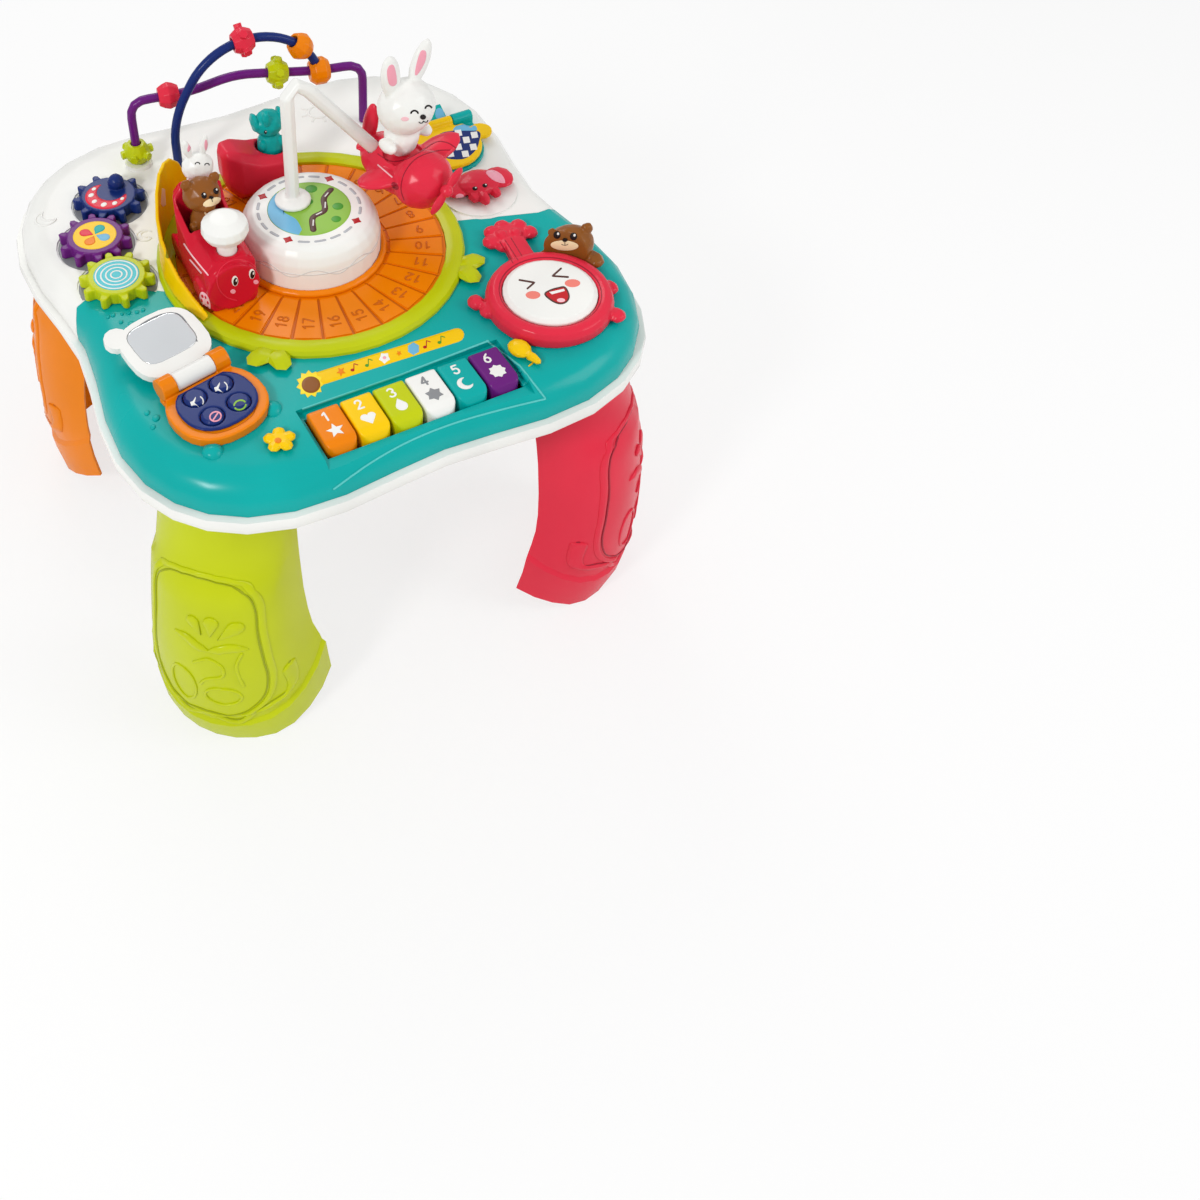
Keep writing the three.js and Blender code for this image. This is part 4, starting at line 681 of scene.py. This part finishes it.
def add_hub_ring():
    """A ring of dashes, with a red mark in place of every fifth."""
    count, every, marked = 20, 5, 2
    reach, first, half_dash = 41.5, 6, 5
    ring = Relief("hub_dashes", "carousel", "hub", "dash")
    dots = Relief("hub_marks", "carousel", "hub", "mark")
    for i in range(count):
        middle = 360 / count * i + first
        if i % every == marked:
            dots.patch(Above(*polar(reach, middle), middle), star(4.4, 4, 0.62), rise=0.3, levels=3)
        else:
            dash = arc(0, 0, reach, reach, middle - half_dash, middle + half_dash, 5)
            ring.stroke(Above(), dash, width=2.6, rise=0.3, step=1.5)
    ring.finish()
    dots.finish()


def add_hub_wave():
    radius, level, swing, waves, count = 58, 24, 3.4, 9, 216
    path = []
    for k in range(count):
        turn = 2 * math.pi * k / count
        path.append((radius * turn, level + swing * math.sin(waves * turn)))
    add_stroke("hub_wave", "carousel", "hub", "line", Around(radius), path,
               width=0.9, rise=0.3, step=1.4, closed=True)


# The carousel's riders

def add_train_face():
    train = ("carousel", "train_body")
    eyes_px = ((235.4, 281.6), (252.4, 274.6))
    eye_whites_px = (oval(3.2, 5.2, 235, 281), oval(3, 5, 252, 274))
    cheeks_px = (oval(2.6, 2.2, 233, 291.5), oval(2.6, 2.2, 256, 282))
    upper_stripe_px = curve([(184, 244), (190, 253), (198, 263), (208, 275)])
    lower_stripe_px = curve([(190, 260), (196, 267), (201, 273)])
    rim_px = arc(238.5, 280, 21.5, 20.5, 95, 320, 26)
    marks("train_eye_whites", *train, "white", patches=eye_whites_px)
    eyes("train", *train, eyes_px, rx=2.3, ry=4.2, tilt=8)
    marks("train_cheeks", *train, "pink", patches=cheeks_px)
    marks("train_stripes", *train, "rose", width=1.5, lines=(upper_stripe_px, lower_stripe_px))
    marks("train_face_rim", *train, "red", width=1.3, rise=0.6, lines=(rim_px,))


def add_train_wheel():
    """A disc with a ring of holes, seen from the side."""
    train = ("carousel", "train_body")
    hole_count, first_turn = 6, 20
    wheel = Seen(205, 301.5, turn=-20)
    disc_px = oval(4.6, 10.2, count=24)
    hole_wide_px, hole_high_px, ring_wide_px, ring_high_px = 0.9, 1.9, 2.6, 6
    add_patch("train_wheel_disc", *train, "rose", wheel, disc_px, rise=0.4)
    holes = Relief("train_wheel_holes", *train, "train_red")
    for k in range(hole_count):
        cos, sin = polar(1, 360 / hole_count * k + first_turn)
        hole_px = oval(hole_wide_px, hole_high_px, ring_wide_px * cos, ring_high_px * sin, 12)
        holes.patch(wheel, hole_px, rise=0.7, levels=2)
    holes.finish()


def add_train_bear():
    bear = ("carousel", "train_bear")
    eyes_px = ((204, 195.5), (216, 191))
    muzzle, muzzle_px = Seen(212, 202, turn=-20), oval(9.5, 3.9)
    nose_px = oval(2.2, 1.5, 211, 197.2, 14)
    lip_px = [(211.5, 199), (212, 201.5)]
    bib_px = [(205, 213), (209, 217.5), (215, 211)]
    eyes("train_bear", *bear, eyes_px, rx=2.7, ry=3.3, tilt=-18)
    add_patch("train_bear_muzzle", *bear, "cream", muzzle, muzzle_px, rise=0.5, dome=0.6)
    marks("train_bear_nose", *bear, "black", patches=(nose_px,), rise=1.5, lines=(lip_px,), width=0.8)
    marks("train_bear_bib", *bear, "cream", width=1.8, lines=(bib_px,), rise=0.5)


def add_train_rabbit():
    rabbit = ("carousel", "train_rabbit")
    left_eye_px = arc(197.5, 164, 2.2, 1.6, 180, 360, 8)
    right_eye_px = arc(207, 165, 2.2, 1.6, 180, 360, 8)
    turns = [k / 3 for k in range(19)]
    left_ear_px = [(190 + 1.9 * math.cos(t) - 1.8 * math.sin(t), 146 + 6 * math.sin(t)) for t in turns]
    right_ear_px = oval(1.5, 5.5, 206, 145)
    marks("train_rabbit_eyes", *rabbit, "black", width=1.1, lines=(left_eye_px, right_eye_px))
    marks("train_rabbit_ears", *rabbit, "pink", patches=(left_ear_px, right_ear_px))


def add_boat_print():
    eye_px = (265.5, 132)
    eyes("boat_elephant", "carousel", "boat_elephant", (eye_px,), rx=1.4, ry=1.8)


def add_pilot_print():
    rabbit = ("carousel", "plane_rabbit")
    left_eye_px = arc(414.5, 114, 3.6, 3.4, 195, 345, 10)
    right_eye_px = arc(428.5, 108.5, 3.2, 2.8, 190, 340, 10)
    nose_px = oval(3, 2.6, 423, 117, 18)
    lips_px = (arc(421, 121, 2.2, 2.2, 10, 150, 8), arc(425.6, 120, 2.2, 2.2, 10, 150, 8))
    cheek_px = oval(4, 2.2, 405, 119)
    lining_px = curve([(-4, -4), (-2, -11), (3, -11), (6, 4), (3, 9), (-2, 7)], closed=True)
    left_ear_px = shifted(lining_px, 391, 77)
    right_ear_px = curve([(421, 51), (426, 52), (425, 62), (418, 74), (415, 74), (417, 62)], closed=True)
    marks("pilot_eyes", *rabbit, "black", width=1.9, rise=0.4, lines=(left_eye_px, right_eye_px))
    marks("pilot_nose", *rabbit, "black", patches=(nose_px,), rise=0.6, lines=lips_px, width=0.9)
    marks("pilot_cheek", *rabbit, "rose", patches=(cheek_px,))
    marks("pilot_ear_linings", *rabbit, "pink", patches=(left_ear_px, right_ear_px))


def add_plane_print():
    plane = ("carousel", "plane_body")
    seat_px = curve([(378, 154), (390, 161), (404, 160), (420, 152), (436, 142), (448, 143), (457, 149)])
    cowl_px = curve([(404, 200), (401, 188), (405, 172), (417, 158), (436, 151), (450, 150)])
    stripe_px = [(378, 165), (392, 177)]
    hole, hole_px = Seen(395, 186, turn=50), oval(4.6, 2.8)
    marks("plane_lines", *plane, "dark_red", width=1.1, lines=(seat_px, cowl_px))
    marks("plane_stripe", *plane, "rose", width=1.4, lines=(stripe_px,))
    add_patch("plane_side_hole", *plane, "dark_red", hole, hole_px)


# The pieces on the covers

def add_elephant_print():
    button = ("elephant_button", "elephant_button")
    eyes_px = ((475, 188.5), (485, 185.5))
    lining_px = curve([(-9, -6), (-2, -8), (7, -3), (10, 5), (2, 4), (-5, 0)], closed=True)
    ears_px = (shifted(lining_px, 495, 178), oval(4.4, 3.2, 460, 197))
    eyes("elephant_button", *button, eyes_px, rx=2.6, ry=2.0)
    marks("elephant_ear_linings", *button, "pink", rise=0.5, patches=ears_px)


def add_book_print():
    """A checked patch with a strip of sky on the page, and a blue patch on the base."""
    page = ("book_page", "book_page")
    sky_px = curve([(453, 130), (462, 122), (472, 122), (477, 130), (466, 131)], closed=True, steps=4)
    checks_px = curve([(438, 136), (450, 131), (478, 131), (479, 142), (474, 152), (463, 159), (446, 158),
                       (438, 150)], closed=True)
    square_px = [(-3.2, -3.2), (3.4, -3.0), (4.0, 3.2), (-2.6, 3.2)]
    squares_px = ((450, 139), (458, 133), (466, 140), (474, 135), (458, 147), (473, 147), (443, 146),
                  (450, 154), (465, 154))
    base_px = curve([(436, 110), (440, 108), (444, 112), (446, 116), (440, 119), (435.5, 117)],
                    closed=True, steps=3)
    tilt = -8
    marks("book_page_sky", *page, "sky", patches=(sky_px,), rise=0.2)
    add_patch("book_page_checks", *page, "navy", Seen(), checks_px, rise=0.22, levels=7)
    white = Relief("book_page_squares", *page, "white")
    for x, y in squares_px:
        white.patch(Seen(x, y, tilt), square_px, rise=0.45, levels=2)
    white.finish()
    marks("book_leaf_patch", "table", "book_base", "sky", rise=0.2, patches=(base_px,))


def add_drum_face():
    pad = ("drum_pad", "drum_pad")
    left_eye_px = [(519.5, 280), (534.5, 282.5), (527.5, 288.5)]
    right_eye_px = [(561, 268.5), (552.5, 276), (568, 277)]
    cheeks_px = (oval(7.4, 4, 533, 295), oval(7.8, 4, 572.5, 283.2))
    mouth_px = curve([(545, 294), (551, 290), (558, 288), (565, 287.5), (569, 296), (566, 302),
                      (559, 303.5), (551, 300)], closed=True, steps=4)
    teeth_px = [(549, 292.2), (564, 288.8), (565, 291), (552, 294.5)]
    tongue_px = oval(4.2, 2, 561, 300.3)
    marks("drum_face_eyes", *pad, "wood", width=2.0, rise=0.25, lines=(left_eye_px, right_eye_px))
    marks("drum_face_cheeks", *pad, "blush", patches=cheeks_px, rise=0.2)
    marks("drum_face_mouth", *pad, "mouth", patches=(mouth_px,), rise=0.2)
    marks("drum_face_teeth", *pad, "white", patches=(teeth_px,), rise=0.42)
    marks("drum_face_tongue", *pad, "rose", patches=(tongue_px,), rise=0.42)
    add_stroke("drum_face_mouth_line", *pad, "wood", Seen(), mouth_px,
               width=1.6, rise=0.5, step=1, closed=True)


def add_drum_bear_print():
    bear = ("table", "drum_bear")
    eyes_px = ((557, 235), (573.5, 236.5))
    muzzle, muzzle_px = Seen(564.5, 245.5, turn=3), oval(14, 5)
    nose_px = oval(2.6, 1.8, 565, 239.8, 14)
    lips_px = ([(565, 241.5), (565, 244.5)], arc(565, 243.2, 3.4, 1.6, 20, 160, 8))
    eyes("drum_bear", *bear, eyes_px, rx=3.6, ry=3.9)
    add_patch("drum_bear_muzzle", *bear, "cream", muzzle, muzzle_px, rise=0.5, dome=0.5)
    marks("drum_bear_nose", *bear, "black", patches=(nose_px,), rise=1.2)
    marks("drum_bear_mouth", *bear, "wood", width=0.9, rise=1.3, lines=lips_px)


def add_drum_lines():
    """The guitar's strings, and the edge round the pad."""
    drum = ("table", "drum_frame")
    strings_px = ([(500, 242), (513, 263)], [(505, 240), (518, 260)], [(511, 238), (522, 256)])
    edge_radius = 40.6
    edge = oval(edge_radius, edge_radius, count=56)
    marks("drum_strings", *drum, "dark_red", width=0.9, lines=strings_px)
    add_stroke("drum_pad_rim", *drum, "dark_red", Above(*centre("drum_pad")), edge,
               width=0.9, rise=0.25, closed=True)


def add_phone_icons():
    """Two loudspeakers, a pair of bows and a crossed ring."""
    buttons_px = ((197, 402), (221, 387.5), (240, 405), (215.5, 416.5))
    colours = ("white", "white", "leaf", "pink")
    tilt, size = -18, 1.3
    horn = [(-5.1, -1.6), (-2.9, -1.6), (0.3, -4.2), (0.3, 4.2), (-2.9, 1.6), (-5.1, 1.6)]
    sound = arc(0.5, 0, 4.4, 4.4, -42, 42, 8)
    upper_bow, lower_bow = arc(0, 0, 4.6, 3.6, 20, 160, 10), arc(0, 0, 4.6, 3.6, 200, 340, 10)
    ring, bar = oval(4.4, 3.6, count=20), [(-2.6, 2.0), (2.6, -2.0)]
    for i, (colour, (x, y)) in enumerate(zip(colours, buttons_px)):
        node = f"phone_button_{i + 1}"
        icon = Relief(node + "_icon", node, node, colour)
        place = Seen(x, y, tilt, size)
        if colour == "white":
            icon.patch(place, horn, rise=0.3, levels=3)
            icon.stroke(place, sound, width=1.0, rise=0.3, step=1)
        elif colour == "leaf":
            icon.stroke(place, upper_bow, width=1.4, rise=0.3, step=1)
            icon.stroke(place, lower_bow, width=1.4, rise=0.3, step=1)
        else:
            icon.stroke(place, ring, width=1.2, rise=0.3, step=1, closed=True)
            icon.stroke(place, bar, width=1.2, rise=0.3, step=1)
        icon.finish()


def add_phone_lines():
    mirror_px = curve([(128, 341), (131, 333), (145, 322), (160, 315), (172, 313), (181, 316), (190, 328),
                       (197, 341)])
    seam_px = curve([(180, 402), (183, 414), (193, 425), (206, 432), (218, 433), (236, 427), (252, 416),
                     (257, 404)])
    marks("mirror_edge", "phone_cover", "phone_cover", "grey", width=1.4, lines=(mirror_px,))
    marks("phone_seam", "table", "phone_base", "dark_orange", width=0.9, rise=0.25, lines=(seam_px,))


def add_song_strip():
    """A yellow strip with a sun at its left end, and small signs along it."""
    shell = ("table", "top_shell_front")
    start_px, end_px = (312, 381), (457, 335)
    sun_place, sun_px = Seen(310, 384, turn=10), star(14, 11, 0.78)
    face_px = oval(9.5, 8.5, 311, 385)
    along_shares = (0.2, 0.3, 0.4, 0.5, 0.6, 0.7, 0.8, 0.9)
    along_px = []
    for share in along_shares:
        along_px.append(tuple(start_px[k] + (end_px[k] - start_px[k]) * share for k in (0, 1)))
    flag_px, head_px = [(-1.6, 3), (-1.6, -3.4), (2.2, -2.2)], oval(2, 1.5, -3, 3, 12)
    add_stroke("song_strip", *shell, "yellow", Seen(), (start_px, end_px), width=14.5, rise=0.3, step=2)
    sun = Relief("song_strip_sun", *shell, "bright_yellow", "yellow")
    sun.patch(sun_place, sun_px, rise=0.5, levels=4)
    sun.finish()
    marks("song_strip_sun_face", *shell, "brown", rise=0.75, patches=(face_px,))
    for name, colour, places in (("song_strip_notes", "mark", (1, 6)),
                                 ("song_strip_green_notes", "hedge", (2, 7))):
        marks(name, *shell, colour, width=1.1, rise=0.55,
              lines=[shifted(flag_px, *along_px[i]) for i in places],
              patches=[shifted(head_px, *along_px[i]) for i in places])
    stars_px = (shifted(star(5, 5), *along_px[0]), shifted(star(3, 5), *along_px[4]))
    cloud_px = shifted(star(6.4, 6, 0.86), *along_px[5])
    flower_px = shifted(star(6, 5, 0.72), *along_px[3])
    flower_eye_px = shifted(oval(1.8, 1.6, count=12), *along_px[3])
    marks("song_strip_star", *shell, "orange", rise=0.55, patches=stars_px)
    marks("song_strip_cloud", *shell, "sky", rise=0.55, patches=(cloud_px,))
    marks("song_strip_flower", *shell, "white", rise=0.55, patches=(flower_px,))
    marks("song_strip_flower_eye", *shell, "pink", rise=0.8, patches=(flower_eye_px,))


def add_key_prints():
    """A number and a sign on each key, grey on the white key and white on the others."""
    number_left, number_up, sign_down = 1, 7.5, 8
    moon_radius, moon_turn = 7.4, 20
    signs = (star(7.2), heart(6.4), drop(4.6, 8.4, 90), star(7, 6, 0.66), None, star(7, 8, 0.78))
    for i, (node, sign) in enumerate(zip(KEYS, signs)):
        x, y = centre(node)
        colour = "grey" if NODE_COLOURS[node] == "white" else "white"
        relief = Relief(node + "_print", node, node, colour)
        number_place, sign_place = Above(x - number_left, y + number_up), Above(x, y - sign_down)
        number(relief, number_place, str(i + 1), height=8.5, width=1.7, rise=0.35)
        if sign:
            relief.patch(sign_place, sign, rise=0.35, levels=4)
        else:
            crescent(relief, sign_place, moon_radius, moon_turn, rise=0.35)
        relief.finish()


def add_gear_back_print():
    """A red moon with white spots along it."""
    gear = ("gear_back", "gear_back")
    place, radius, turn = centre("gear_back"), 21, 35
    spots = ((-1, 14.5, 2.2), (-9, 11.5, 2.8), (-14.5, 4, 2.6), (-14, -5.5, 3), (-8, -12.5, 2.6),
             (0, -14.5, 2))
    moon = Relief("gear_back_label", *gear, "red")
    crescent(moon, Above(*place), radius, turn, rise=0.4)
    moon.finish()
    dots = Relief("gear_back_spots", *gear, "white")
    for x, y, size in spots:
        dots.patch(Above(*place, turn), oval(size, size * 0.8, x, y, 14), rise=0.75, levels=3)
    dots.finish()


def add_gear_middle_print():
    """A yellow disc with four petals."""
    gear = ("gear_middle", "gear_middle")
    x, y = centre("gear_middle")
    radius, petal_reach, first_turn = 18, 9, 45
    petal = drop(4.6, 8, 180)
    petals = (("teal", "teal"), ("red", "red"), ("orange", "orange"), ("blue", "sky"))
    disc = oval(radius, radius, count=40)
    add_patch("gear_middle_label", *gear, "yellow", Above(x, y), disc, rise=0.25, levels=6)
    for i, (name, colour) in enumerate(petals):
        turn = first_turn + 360 / len(petals) * i
        out_x, out_y = polar(petal_reach, turn)
        place = Above(x + out_x, y + out_y, turn)
        add_patch(f"gear_middle_petal_{name}", *gear, colour, place, petal, rise=0.5, levels=3)


def add_gear_front_print():
    """A light blue disc with white rings."""
    gear = ("gear_front", "gear_front")
    place = Above(*centre("gear_front"))
    radius = 18.5
    add_patch("gear_front_label", *gear, "cyan", place, oval(radius, radius, count=40), rise=0.25, levels=6)
    rings = Relief("gear_front_rings", *gear, "white")
    for reach in (4.5, 8.5, 12.5, 16.8):
        rings.stroke(place, oval(reach, reach, count=36), width=1.5, rise=0.45, step=1.4, closed=True)
    rings.finish()


def add_gear_shade_discs():
    """A grey disc of painted shade on the cover under each gear."""
    radius = 32
    shade_discs = Relief("gear_shade_discs", "table", "top_shell_rear", "grey")
    for name in ("gear_back", "gear_middle", "gear_front"):
        shade_discs.patch(Above(*centre(name)), oval(radius, radius, count=48), rise=0.12, levels=3)
    shade_discs.finish()


def add_wall_details():
    panel = ("table", "tunnel_panel")
    glint_px = [(162, 188), (165, 189), (166, 205), (163, 207), (161, 204)]
    drop_px = shifted(drop(2.4, 8, 255), 168, 256)
    marks("panel_glint", *panel, "cream", patches=(glint_px,))
    # A dark olive drop, painted shade in a drop-shaped hole in the wall
    marks("panel_drop_shade", *panel, "olive", patches=(drop_px,))


# Mouldings on the covers

def add_rear_curls():
    """Two curls and a small sun on the rear cover."""
    hook = arc(0, 0, 7, 7, 20, 300, 16) + arc(1, 1, 4, 4, 290, 60, 8)
    curl = arc(0, 0, 9, 9, 60, 300, 16) + arc(5, 0, 7, 7, 250, 110, 10)
    hook_place, curl_place, sun = Above(-118, 79), Above(-186, 138, turn=30), Above(86, 174)
    sun_radius, ray_count, ray_from, ray_to = 9, 8, 12, 15.5
    relief = Relief("shell_curls", "table", "top_shell_rear", "white")
    relief.stroke(hook_place, hook, width=1.6, rise=0.7, step=1.5)
    relief.stroke(curl_place, curl, width=2.0, rise=0.8, step=1.5)
    relief.stroke(sun, oval(sun_radius, sun_radius, count=28), width=2.0, rise=0.8, step=1.5, closed=True)
    for k in range(ray_count):
        turn = 360 / ray_count * k
        ray = (polar(ray_from, turn), polar(ray_to, turn))
        relief.stroke(sun, ray, width=2.0, rise=0.8, step=1.2)
    relief.finish()


def add_front_mouldings():
    """Two groups of drops, a moon, and the raised lip of the keys' bay in pale teal as a painted highlight,
    on the front cover.
    """
    front = ("table", "top_shell_front")
    splash_px = ((113, 315, 2), (122, 314, 1.4), (143, 310, 1.8), (129, 313, 1.5), (137, 312, 1.8),
                 (121, 322, 1.8), (131, 324, 2.6), (141, 321, 2), (126, 331, 2), (108, 317, 1.6))
    drops_px = ((147, 413, 2.4), (156, 418, 3.2), (153, 427, 2.2), (519, 372, 2), (510, 381, 1.6))
    moon_place, moon_radius_px = Seen(521, 380, turn=150), 8
    bay_back_px = [(303, 409), (400, 375), (488, 341)]
    bay_side_px = [(487, 341), (520, 366), (545, 398)]
    bay_front_px = curve([(334, 489), (372, 462), (412, 440), (455, 423), (500, 410), (545, 399)])
    tilt, wide_share = -25, 1.3
    for name, spots_px in (("shell_splash", splash_px), ("shell_drops", drops_px)):
        relief = Relief(name, *front, "teal")
        for x, y, size in spots_px:
            spot_px = oval(size * wide_share, size, count=16)
            relief.patch(Seen(x, y, tilt), spot_px, rise=0.8, levels=3, dome=0.5)
        relief.finish()
    moon = Relief("shell_moon", *front, "teal")
    crescent(moon, moon_place, moon_radius_px, turn=0, rise=1.2)
    moon.finish()
    # A raised lip along the keys' bay, drawn pale teal as a painted highlight on its edges
    marks("bay_edge_highlight", *front, "pale_teal", width=2.0, rise=0.8,
          lines=(bay_back_px, bay_side_px, bay_front_px))


def add_light_details():
    flower_eye_px = oval(3.4, 2.8, 278, 440.5)
    string_px = curve([(531, 353), (527, 358), (533, 362), (529, 366)])
    marks("flower_light_eye", "table", "flower_light", "orange", patches=(flower_eye_px,), rise=0.4)
    marks("balloon_string", "table", "top_shell_front", "yellow", width=1.6, rise=0.9, lines=(string_px,))


# Legs

def mirrored(side):
    """The same points on the other side, in reverse."""
    return [(-x, y) for x, y in reversed(side)]


# Where the emblem's origin stands: out from the middle each way, and above the floor
LEG_REACH, EMBLEM_HEIGHT = 150, 130

# Half of the panel's outline and of the shoe's edge, from the middle outwards
PANEL_SIDE = [(22, 86), (38, 76), (45, 58), (47, 30), (50, 0), (53, -30), (51, -54), (42, -70), (24, -82)]
SHOE_SIDE = [(24, -95), (38, -80), (50, -71), (63, -62), (61, -34)]
PANEL_LINE = [(0, 90)] + PANEL_SIDE + [(0, -80)] + mirrored(PANEL_SIDE)
SHOE_LINE = mirrored(SHOE_SIDE) + [(0, -86)] + SHOE_SIDE
# The thin dark lines of painted shade: shares of the panel's outline for the one inside the frame, and the
# other's height above the shoe's edge
INNER_WIDE_SHARE, INNER_HIGH_SHARE = 0.93, 0.955
SHOE_EDGE_RISE = 3.4

# The sprout: place, radius, length and turn of each petal, its two leaves, its loops and its stems
PETALS = ((-4, 43, 5.5, 15, -62), (11, 45, 6, 16, -93), (29, 39, 6.5, 18, -137))
LEAVES = ([(-22, 22), (-12, 22), (-2, 16), (9, 11)], [(7, 11), (18, 15), (28, 16), (38, 12)])
LOOPS = ((-19, -45, 12, 23), (16, -50, 15, 12))
HOOK = [(-6, -8), (6, 1), (17, -5), (18, -19), (4, -27), (-2, -36)]
STEM = [(33, 8), (29, -8), (33, -34)]

# Which way each leg stands from the middle, and its colour
LEGS = (("leg_front_left", -1, -1, "green"), ("leg_front_right", 1, -1, "red"),
        ("leg_rear_left", -1, 1, "orange"), ("leg_rear_right", 1, 1, "yellow"))


def add_sprout(relief, place):
    for x, y, radius, length, turn in PETALS:
        relief.patch(place, shifted(drop(radius, length, turn), x, y), rise=1.6, levels=4, dome=1.0)
    for leaf in LEAVES:
        relief.stroke(place, curve(leaf), width=10, rise=2.4, step=2, swell=True)
    for x, y, rx, ry in LOOPS:
        relief.stroke(place, oval(rx, ry, x, y, 26), width=2.6, rise=1.4, step=2, closed=True)
    relief.stroke(place, curve(HOOK), width=2.8, rise=1.4, step=2)
    relief.stroke(place, curve(STEM), width=2.6, rise=1.4, step=2)


def add_leg_emblems():
    """A framed panel with a moulded sprout, and the edge of the shoe, on each leg, with thin dark lines of
    painted shade inside the frame and above the shoe's edge.
    """
    inner_line = [(x * INNER_WIDE_SHARE, y * INNER_HIGH_SHARE) for x, y in PANEL_LINE]
    for name, side, end, colour in LEGS:
        relief = Relief(name + "_sprout", name, name, colour)
        # Thin lines in the leg's darker tone, painted shade along the inside of the frame and above the
        # shoe's edge
        edges = Relief(name + "_panel_edge_shade", name, name, "dark_" + colour, colour)
        origin = Vector((side * LEG_REACH, end * LEG_REACH, EMBLEM_HEIGHT)) - AXIS_MM
        place = Facing(origin, (side, end, 0))
        relief.stroke(place, curve(PANEL_LINE, closed=True), width=4.6, rise=2.0, step=3, closed=True)
        edges.stroke(place, curve(inner_line, closed=True), width=1.2, rise=0.8, step=3, closed=True)
        relief.stroke(place, curve(SHOE_LINE), width=5.5, rise=2.6, step=3)
        edges.stroke(place, shifted(curve(SHOE_LINE), 0, SHOE_EDGE_RISE), width=1.2, rise=0.8, step=3)
        add_sprout(relief, place)
        relief.finish()
        edges.finish()


ADDITIONS = (
    add_track_groove_shade, add_track_numbers, add_hub_picture, add_hub_ring, add_hub_wave, add_train_face,
    add_train_wheel, add_train_bear, add_train_rabbit, add_boat_print, add_pilot_print, add_plane_print,
    add_elephant_print, add_book_print, add_drum_face, add_drum_bear_print, add_drum_lines,
    add_phone_icons, add_phone_lines, add_song_strip, add_key_prints, add_gear_back_print,
    add_gear_middle_print, add_gear_front_print, add_gear_shade_discs, add_wall_details, add_rear_curls,
    add_front_mouldings, add_light_details, add_leg_emblems,
)


# Stage

FLOOR_HALF = 6.0
FLOOR_GREY = 0.9
FLOOR_ROUGHNESS = 0.9
FLOOR_GLOW = 0.72
SKY_STRENGTH = 0.62

# Name, place, diameter and power of each lamp, and the point that all of them are aimed at
LAMPS = (
    ("key_lamp", (-1.7, -0.95, 1.75), 0.45, 21),
    ("fill_lamp", (1.4, -1.2, 1.3), 1.1, 10),
    ("back_lamp", (0.2, 1.6, 1.7), 1.0, 9),
)
LAMP_AIM = Vector((0, 0, 0.3))


def floor_material():
    """Pale grey that glows a little toward the camera, so that it fades into the white around it."""
    material = bpy.data.materials.new("floor")
    material.use_nodes = True
    nodes, links = material.node_tree.nodes, material.node_tree.links
    shader = nodes["Principled BSDF"]
    shader.inputs["Base Color"].default_value = (FLOOR_GREY, FLOOR_GREY, FLOOR_GREY, 1)
    shader.inputs["Roughness"].default_value = FLOOR_ROUGHNESS
    glow = nodes.new("ShaderNodeEmission")
    seen = nodes.new("ShaderNodeLightPath")
    share = nodes.new("ShaderNodeMath")
    share.operation = "MULTIPLY"
    share.inputs[1].default_value = FLOOR_GLOW
    mix = nodes.new("ShaderNodeMixShader")
    links.new(seen.outputs["Is Camera Ray"], share.inputs[0])
    links.new(share.outputs["Value"], mix.inputs["Fac"])
    links.new(shader.outputs["BSDF"], mix.inputs[1])
    links.new(glow.outputs["Emission"], mix.inputs[2])
    links.new(mix.outputs["Shader"], nodes["Material Output"].inputs["Surface"])
    return material


def add_floor():
    mesh = bpy.data.meshes.new("floor")
    corners = [(FLOOR_HALF * x, FLOOR_HALF * y, 0) for x, y in ((-1, -1), (1, -1), (1, 1), (-1, 1))]
    mesh.from_pydata(corners, [], [(0, 1, 2, 3)])
    mesh.materials.append(floor_material())
    floor = bpy.data.objects.new("floor", mesh)
    link(floor)


def add_sky():
    """White to the camera, and softer as a light."""
    world = bpy.data.worlds.new("world")
    bpy.context.scene.world = world
    world.use_nodes = True
    nodes, links = world.node_tree.nodes, world.node_tree.links
    sky = nodes["Background"]
    sky.inputs["Color"].default_value = (1, 1, 1, 1)
    seen = nodes.new("ShaderNodeLightPath")
    strength = nodes.new("ShaderNodeMath")
    strength.operation = "MULTIPLY_ADD"
    strength.inputs[1].default_value = 1 - SKY_STRENGTH
    strength.inputs[2].default_value = SKY_STRENGTH
    links.new(seen.outputs["Is Camera Ray"], strength.inputs[0])
    links.new(strength.outputs["Value"], sky.inputs["Strength"])


def add_lamps():
    for name, spot, size, power in LAMPS:
        data = bpy.data.lights.new(name, "AREA")
        data.shape = "DISK"
        data.size = size
        data.energy = power
        lamp = bpy.data.objects.new(name, data)
        lamp.location = spot
        lamp.rotation_euler = (LAMP_AIM - Vector(spot)).to_track_quat("-Z", "Y").to_euler()
        link(lamp)


bpy.context.scene.view_settings.view_transform = "Standard"
add_camera()
add_floor()
add_sky()
add_lamps()
dress_nodes()
for add in ADDITIONS:
    add()
